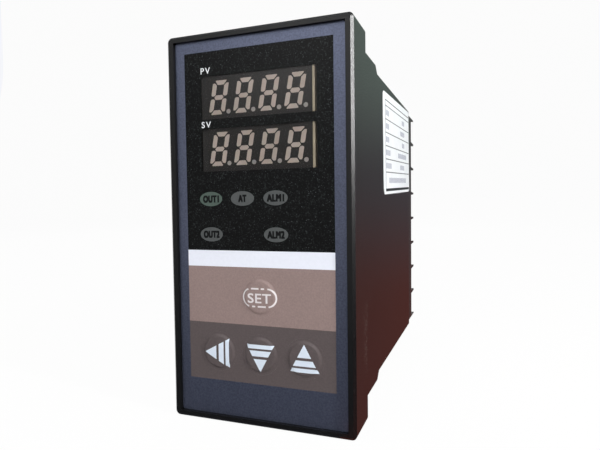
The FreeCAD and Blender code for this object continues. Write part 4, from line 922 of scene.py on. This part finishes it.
class CONTROLLER_OT_front_words(bpy.types.Operator):
    """Prints PV, SV and the words of the lamp fields on the film"""
    bl_idname = "controller.front_words"
    bl_label = "Front words"

    def execute(self, context):
        film = context.scene.controller_film
        front = film_levels()[1]
        titles = [heavy_word(text, (film.word_x, z), film.word_width, film.word_height, film.word_weight,
                             film.word_spacing)
                  for text, z in (("PV", film.upper_word), ("SV", film.lower_word))]
        lamps = [heavy_word(text, (x * MM, z * MM), film.letter_width * len(text), film.lamp_word_height,
                            film.lamp_word_weight, film.lamp_word_spacing)
                 for text, (x, z) in LAMP_WORDS.items()]
        for name, words, finish in (
                ("display_words", titles, screen_ink("Screen ink, white", film.word_colour)),
                ("lamp_words", lamps, screen_ink("Screen ink, charcoal", film.lamp_word_colour))):
            shapes = [together(printed(marks, lambda flat: front, film.ink, film.ink)) for marks in words]
            make_piece(name, standing(shapes, "front"), [finish], "front_film")
        return {"FINISHED"}


def dome_height(flat, keys):
    """Height of a key dome over the film: rise * step, where step falls smoothly from 1 to 0 between the
    flat and the crown radius, plus bulge * (1 - (r / crown) squared) on the same step."""
    radius = np.hypot(flat[:, 0], flat[:, 1])
    share = np.clip((keys.crown - radius) / (keys.crown - keys.flat), 0, 1)
    step = share * share * (3 - 2 * share)
    return step * (keys.rise + keys.bulge * (1 - (radius / keys.crown) ** 2))


def arrow(direction, keys):
    """Three slices of a triangle. A point at share q of the way from tip to base and t from -1 to 1 across
    is tip - q * length * direction + q * t * half width * across."""
    along = np.array(direction, float)
    across = np.array([-along[1], along[0]])
    tip = keys.arrow_lead * along + (0, -keys.print_drop)
    side = np.linspace(-1, 1, SLICE_COLUMNS)[None, :, None]
    parts = []
    for start, end in ARROW_SLICES:
        share = np.linspace(start, end, SLICE_ROWS)[:, None, None]
        parts.append(grid(tip - share * keys.arrow_length * along + share * side * keys.arrow_half * across))
    return parts


def set_mark(keys):
    """The word SET in a broken outline with round ends: arcs about the two centres, and dashes along the
    straight sides."""
    parts = []
    for side, first, last in RING_ARCS:
        angle = np.radians(np.linspace(first, last, ARC_STEPS))
        parts.append(strip(np.column_stack([side * keys.ring_reach + keys.ring_radius * np.cos(angle),
                                            keys.ring_radius * np.sin(angle) - keys.ring_drop]),
                           keys.ring_stroke))
    for side, first, last in RING_DASHES:
        along = np.linspace(first * MM, last * MM, DASH_STEPS)
        height = np.full(DASH_STEPS, side * keys.ring_radius - keys.ring_drop)
        parts.append(strip(np.column_stack([along, height]), keys.ring_stroke))
    return parts + heavy_word("SET", (0, -keys.print_drop), keys.set_width, keys.set_height, keys.set_weight,
                              keys.set_spacing)


class CONTROLLER_OT_keys(bpy.types.Operator):
    """Makes the embossed key domes with their arrows and the SET outline"""
    bl_idname = "controller.keys"
    bl_label = "Keys"

    def execute(self, context):
        keys = context.scene.controller_keys
        back, front = film_levels()
        taupe = bpy.data.materials["Printed polyester, taupe"]
        brown = bpy.data.materials["Printed polyester, brown"]
        arrow_ink = screen_ink("Screen ink, pale blue", keys.arrow_colour)
        set_ink = screen_ink("Screen ink, warm white", keys.set_colour)

        def ground(flat):
            """Height of a dome's skin under flat points."""
            return front + dome_height(flat, keys)

        for name, direction in KEYS.items():
            x, z, radius = key_middle(name)
            radii = np.concatenate([np.linspace(KEY_HEART, keys.flat, FLAT_RINGS)[:-1],
                                    np.linspace(keys.flat, keys.crown, FLANK_RINGS), [radius]])
            flat, faces = disc(radii)
            skin = [slab(flat, faces, back, ground(flat))]
            dome = make_piece(f"{name}_dome_skin", standing(skin, "front", (x, 0, z)),
                              [brown if direction else taupe], "key_film", f"{name}_key", crease=keys.crease)
            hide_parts(f"{name}_key_dome")
            marks = arrow(direction, keys) if direction else set_mark(keys)
            shapes = printed(marks, ground, keys.sink, keys.lift)
            make_piece(f"{name}_mark", standing(shapes, "front", (x, 0, z)),
                       [arrow_ink if direction else set_ink], "key_film", f"{name}_key", crease=keys.crease)
        return {"FINISHED"}


def screw_head(flat, terminal, height):
    """Height of a pan head: side + (height - side) * square root of 1 - (r / radius) to the power 3, less
    the recess, a cross of two arms whose sides slope from 0 to its depth."""
    radius = np.hypot(flat[:, 0], flat[:, 1])
    pan = terminal.head_side + (height - terminal.head_side) * np.sqrt(
        np.clip(1 - (radius / terminal.head_radius) ** 3, 0, 1))
    across, along = np.abs(flat), np.abs(flat[:, ::-1])
    arm = (np.clip((terminal.recess_width / 2 - across) / terminal.recess_slope + 0.5, 0, 1)
           * np.clip((terminal.recess_length / 2 - along) / terminal.recess_slope + 0.5, 0, 1))
    return pan - terminal.recess_depth * arm.max(axis=1)


class CONTROLLER_OT_terminals(bpy.types.Operator):
    """Makes the terminal screws with pan heads and the moulded terminal numbers"""
    bl_idname = "controller.terminals"
    bl_label = "Terminals"

    def execute(self, context):
        terminal = context.scene.controller_terminals
        finish = context.scene.controller_finishes
        washer_low, washer_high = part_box("terminal_washers")
        screw_low, screw_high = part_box("terminal_screws")
        columns = (washer_high.x - terminal.washer / 2, washer_low.x + terminal.washer / 2)
        heights = np.linspace(washer_high.z - terminal.washer / 2, washer_low.z + terminal.washer / 2,
                              TERMINAL_ROWS)
        flat, faces = disc(np.linspace(SCREW_HEART, terminal.head_radius, HEAD_RINGS))
        head = slab(flat, faces, 0.0, screw_head(flat, terminal, screw_high.y - washer_high.y))
        flat, faces = disc(np.array([terminal.shank_radius]), SMALL_STEPS)
        shank = slab(flat, faces, screw_low.y - washer_high.y, terminal.shank_reach)
        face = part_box("terminal_block")[1].y - terminal.strip_drop
        screws, numbers = [], []
        for column, x in enumerate(columns):
            for row, z in enumerate(heights):
                angle = SCREW_TURNS[0] * column + SCREW_TURNS[1] * row
                spin = np.array([[math.cos(angle), math.sin(angle), 0],
                                 [-math.sin(angle), math.cos(angle), 0], [0, 0, 1]])
                for points, sides in (head, shank):
                    screws.append(standing([(points @ spin, sides)], "rear", (x, washer_high.y, z)))
                text = str(1 + row + TERMINAL_ROWS * column)
                flat, faces = word(text, terminal.number_margin + terminal.number_width * len(text),
                                   terminal.number_height)
                middle = ((2 * column - 1) * terminal.number_x, z)
                numbers.append(slab(flat + middle, faces, -terminal.number_root, terminal.number_rise))
        piece = make_piece("terminal_screw_set", together(screws),
                           [plated_steel("Nickel-plated steel", finish.steel)], "plated_steel",
                           crease=terminal.crease)
        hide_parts("terminal_screws")
        make_piece("terminal_numbers", standing(numbers, "rear", (0, face, 0)),
                   [block_plastic("Glass-filled PBT, numbers", finish.block)], "block_plastic")
        return {"FINISHED"}


class CONTROLLER_OT_side_label(bpy.types.Operator):
    """Makes the paper label on the right side with its ruled lines and plain dashes"""
    bl_idname = "controller.side_label"
    bl_label = "Side label"

    def execute(self, context):
        label = context.scene.controller_label
        origin = (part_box("case")[1].x, 0, 0)
        middle = np.array([label.front + label.back, label.bottom + label.top]) / 2
        tilt = np.array([(math.cos(label.tilt), math.sin(label.tilt)),
                         (-math.sin(label.tilt), math.cos(label.tilt))])

        def stuck(name, loops, low, high, material):
            """Makes a piece of the label: its loops turned about the label's middle, as slabs."""
            shapes = [slab(*filled([(loop - middle) @ tilt + middle]), low, high) for loop in loops]
            make_piece(name, standing(shapes, "side", origin), [material])

        stuck("side_label", [rounded(label.front, label.bottom, label.back, label.top, label.corner)], 0.0,
              label.thickness, label_paper("Label paper", label.paper_colour))
        left, right = label.front + label.frame_inset, label.back - label.bar
        top, bottom = label.top - label.top_inset, label.bottom + label.bar
        shares = label.head_share + label.row_share * np.arange(len(LABEL_ROWS))
        rows = top - (top - bottom - label.bar) * np.array([0, *shares, 1])
        lines = [rectangle(left, z - label.rule / 2, right, z + label.rule / 2) for z in rows[:-1]]
        heavy = [lines[0], rectangle(left, bottom, right, bottom + label.bar)]
        upright = rectangle(left, bottom + label.bar, left + label.rule, top - label.rule / 2)
        dashes = []
        for groups, low, high in zip(LABEL_ROWS, rows[2:], rows[1:]):
            foot = (low + high - label.line_height) / 2
            for start, count in groups:
                for y in left + start * MM + label.pitch * np.arange(count):
                    dashes.append(rectangle(y, foot, y + label.stroke, foot + label.line_height))
        for name, finish, loops, colour in (
                ("label_heavy", "Label ink, black", heavy, label.ink_colour),
                ("label_rules", "Label ink, grey", [*lines[1:], upright], label.rule_colour),
                ("label_dashes", "Label ink, blue-grey", dashes, label.dash_colour)):
            stuck(name, loops, label.thickness - label.ink, label.thickness + label.ink,
                  screen_ink(finish, colour))
        return {"FINISHED"}


class CONTROLLER_OT_finishes(bpy.types.Operator):
    """Gives the mouldings, boards and small parts their finishes"""
    bl_idname = "controller.finishes"
    bl_label = "Finishes"

    def execute(self, context):
        finish = context.scene.controller_finishes
        dress("case_plastic", textured_plastic("Spark-textured ABS, black", finish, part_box("front_bezel")))
        dress("block_plastic", block_plastic("Glass-filled PBT, black", finish.block))
        dress("display_shell", display_shell("Polycarbonate display shell", finish,
                                             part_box("pv_display_housing")[0].y))
        dress("display_resin", bpy.data.materials["Diffused epoxy, cream bars"])
        dress("plated_steel", bpy.data.materials["Nickel-plated steel"])
        dress("gilt_brass", rolled_brass("Rolled brass", finish.brass))
        dress("circuit_board", circuit_board("Solder-masked circuit board"))
        for slot, (name, code, roughness, grain, relief, sockets) in INNER_FINISHES.items():
            dress(slot, surface(name, linear(code), roughness, grain * MM, relief * MM, sockets=sockets))
        return {"FINISHED"}


# ---------------------------------------------------------------- stage

def lamp(name, where, aim, width, height, power, diffuse=True, glossy=True):
    """A rectangular area lamp at a place, facing a point, for dull light, for reflections or for both."""
    data = bpy.data.lights.new(name, "AREA")
    data.shape = "RECTANGLE"
    data.size, data.size_y = width, height
    data.energy = power
    light = bpy.data.objects.new(name, data)
    light.location = where
    light.rotation_euler = (Vector(aim) - Vector(where)).to_track_quat("-Z", "Y").to_euler()
    light.visible_camera = False
    light.visible_diffuse, light.visible_glossy = diffuse, glossy
    bpy.context.scene.collection.objects.link(light)


def sweep(name, profile, left, right, material):
    """A stage surface: a side profile of (y, z) points drawn out from left to right."""
    points = np.array([(x, y, z) for x in (left, right) for y, z in profile])
    step = np.arange(len(profile) - 1)
    faces = np.column_stack([step, step + len(profile), step + len(profile) + 1, step + 1])
    mesh = bpy.data.meshes.new(name)
    mesh.from_pydata(points.tolist(), [], faces.tolist())
    mesh.polygons.foreach_set("use_smooth", np.ones(len(faces), bool))
    mesh.materials.append(material)
    piece = bpy.data.objects.new(name, mesh)
    bpy.context.scene.collection.objects.link(piece)
    return piece


def studio_paper(colour, lift):
    # Studio paper: off-white, matt; as seen by the camera and in reflections it is lifted towards white,
    # and keeps part of its shadow.
    material = surface("Studio paper", colour, (0.85, 0.95), 2 * MM, 0.01 * MM, 0.01, 80 * MM,
                       {"Specular IOR Level": 0.0})
    tree = material.node_tree
    path = add(tree, "ShaderNodeLightPath")
    seen = path.outputs["Is Camera Ray"]
    for ray in ("Is Glossy Ray", "Is Transmission Ray"):
        seen = add(tree, "ShaderNodeMath", {0: seen, 1: path.outputs[ray]}, operation="MAXIMUM")
    share = add(tree, "ShaderNodeMath", {0: seen, 1: lift}, operation="MULTIPLY")
    white = add(tree, "ShaderNodeEmission", {"Strength": 1.0})
    lifted = add(tree, "ShaderNodeMixShader", {0: share, 1: tree.nodes["Principled BSDF"], 2: white})
    tree.links.new(lifted.outputs[0], tree.nodes["Material Output"].inputs["Surface"])
    return material


def card_paint(name, strength):
    """A glowing material for a card that shows only in reflections, with its tree and colour socket."""
    material = bpy.data.materials.new(name)
    material.use_nodes = True
    tree = material.node_tree
    glow = add(tree, "ShaderNodeEmission", {"Strength": strength})
    tree.links.new(glow.outputs[0], tree.nodes["Material Output"].inputs["Surface"])
    return material, tree, glow.inputs["Color"]


def dark_card(stage):
    # Dark grey card before the object, mirrored by the lower end of its front, which it darkens.
    material, tree, colour = card_paint("Dark card", stage.card_strength)
    colour.default_value = shade(stage.front_card_colour)
    return material


def tinted_card(stage, floor):
    # Painted card beside and behind the object: dark red at the floor, grey above it and pale green at the
    # top, which is how the case's side runs from green-grey to red-brown.
    material, tree, colour = card_paint("Tinted card", stage.card_strength)
    place = add(tree, "ShaderNodeTexCoord").outputs["Object"]
    height = add(tree, "ShaderNodeSeparateXYZ", {"Vector": place}).outputs["Z"]
    foot = add(tree, "ShaderNodeMapRange", {"Value": height, "From Min": floor,
                                            "From Max": floor + stage.foot_end})
    top = add(tree, "ShaderNodeMapRange", {"Value": height, "From Min": floor + stage.top_start,
                                           "From Max": floor + stage.top_end})
    lower = add(tree, "ShaderNodeMix", {0: foot, 6: shade(stage.card_low), 7: shade(stage.card_middle)},
                data_type="RGBA")
    tint = add(tree, "ShaderNodeMix", {0: top, 6: lower.outputs[2], 7: shade(stage.card_high)},
               data_type="RGBA")
    tree.links.new(tint.outputs[2], colour)
    return material


class CONTROLLER_OT_stage(bpy.types.Operator):
    """Makes the floor and backdrop, the lamps, the room light and the camera"""
    bl_idname = "controller.stage"
    bl_label = "Stage"

    def execute(self, context):
        stage = context.scene.controller_stage
        scene = context.scene
        floor = CAD_BOX[0].z - stage.floor_gap
        angle = np.linspace(-np.pi / 2, 0, BEND_STEPS)
        bend = np.column_stack([stage.floor_bend + stage.bend_radius * np.cos(angle),
                                floor + stage.bend_radius * (1 + np.sin(angle))])
        profile = [(-stage.floor_front, floor), *bend,
                   (stage.floor_bend + stage.bend_radius, floor + stage.backdrop)]
        sweep("studio_sweep", profile, -stage.floor_half, stage.floor_half,
              studio_paper(stage.floor_colour, stage.floor_lift))
        high, low = floor + stage.card_lift, floor + stage.card_lift / 2
        front_card = sweep("front_card", [(-stage.front_card_reach, low), (-stage.front_card_end, low)],
                           stage.front_card_left, stage.card_right, dark_card(stage))
        side_card = sweep("tinted_card", [(-stage.card_reach, high), (stage.card_back, high),
                                          (stage.card_back, high + stage.card_height)],
                          stage.card_left, stage.card_right, tinted_card(stage, floor))
        for card in (front_card, side_card):
            card.visible_camera = card.visible_diffuse = False
            card.visible_transmission = card.visible_shadow = False

        middle = (0, stage.aim_back, 0)
        edge = (CAD_BOX[1].x, CAD_BOX[0].y, stage.edge_place[2])
        narrow = (stage.edge_place, edge, stage.edge_width, stage.edge_height)
        lamp("key_lamp", stage.key_place, (0, 0, 0), stage.key_size, stage.key_size, stage.key_power)
        lamp("fill_lamp", stage.fill_place, middle, stage.fill_size, stage.fill_size, stage.fill_power)
        lamp("edge_lamp", *narrow, stage.edge_power, diffuse=False)
        lamp("side_lamp", *narrow, stage.side_power, glossy=False)
        lamp("rear_lamp", stage.rear_place, middle, stage.rear_size, stage.rear_size, stage.rear_power)

        world = bpy.data.worlds.new("room")
        world.use_nodes = True
        tree = world.node_tree
        background = tree.nodes["Background"]
        background.inputs["Color"].default_value = shade(stage.room_colour)
        seen = add(tree, "ShaderNodeLightPath").outputs["Is Camera Ray"]
        light = add(tree, "ShaderNodeMapRange", {"Value": seen, "To Min": stage.room_light,
                                                 "To Max": stage.room_seen})
        tree.links.new(light.outputs[0], background.inputs["Strength"])
        scene.world = world
        scene.view_settings.view_transform = "Standard"

        data = bpy.data.cameras.new("camera")
        data.sensor_width = stage.sensor
        data.lens = stage.lens
        data.shift_x, data.shift_y = stage.shift
        data.clip_start = stage.nearest
        camera = bpy.data.objects.new("camera", data)
        camera.matrix_world = (Matrix.Translation(stage.camera) @ Matrix.Rotation(stage.yaw, 4, "Z")
                               @ Matrix.Rotation(math.pi / 2 + stage.pitch, 4, "X")
                               @ Matrix.Rotation(stage.roll, 4, "Z"))
        scene.collection.objects.link(camera)
        scene.camera = camera
        return {"FINISHED"}


# ---------------------------------------------------------------- add-on

SETTINGS = {
    "controller_film": FilmSettings,
    "controller_keys": KeySettings,
    "controller_terminals": TerminalSettings,
    "controller_label": LabelSettings,
    "controller_finishes": FinishSettings,
    "controller_stage": StageSettings,
}
OPERATORS = (CONTROLLER_OT_front_film, CONTROLLER_OT_display_edges, CONTROLLER_OT_display_figures,
             CONTROLLER_OT_front_words, CONTROLLER_OT_keys, CONTROLLER_OT_terminals,
             CONTROLLER_OT_side_label, CONTROLLER_OT_finishes, CONTROLLER_OT_stage)


class CONTROLLER_PT_panel(bpy.types.Panel):
    """Lists the steps that dress the controller, and their sizes and colours"""
    bl_idname = "CONTROLLER_PT_panel"
    bl_label = "Controller"
    bl_space_type = "VIEW_3D"
    bl_region_type = "UI"
    bl_category = "Controller"

    def draw(self, context):
        for operator in OPERATORS:
            self.layout.operator(operator.bl_idname)
        for name, group in SETTINGS.items():
            column = self.layout.column(align=True)
            column.label(text=group.__doc__.split(":")[0])
            for field in group.__annotations__:
                column.prop(getattr(context.scene, name), field)


def register():
    for cls in (*SETTINGS.values(), *OPERATORS, CONTROLLER_PT_panel):
        bpy.utils.register_class(cls)
    for name, group in SETTINGS.items():
        setattr(bpy.types.Scene, name, PointerProperty(type=group))


def unregister():
    for name in SETTINGS:
        delattr(bpy.types.Scene, name)
    for cls in reversed((*SETTINGS.values(), *OPERATORS, CONTROLLER_PT_panel)):
        bpy.utils.unregister_class(cls)


def main():
    register()
    for operator in OPERATORS:
        getattr(bpy.ops.controller, operator.bl_idname.split(".")[1])()


if __name__ == "__main__":
    main()
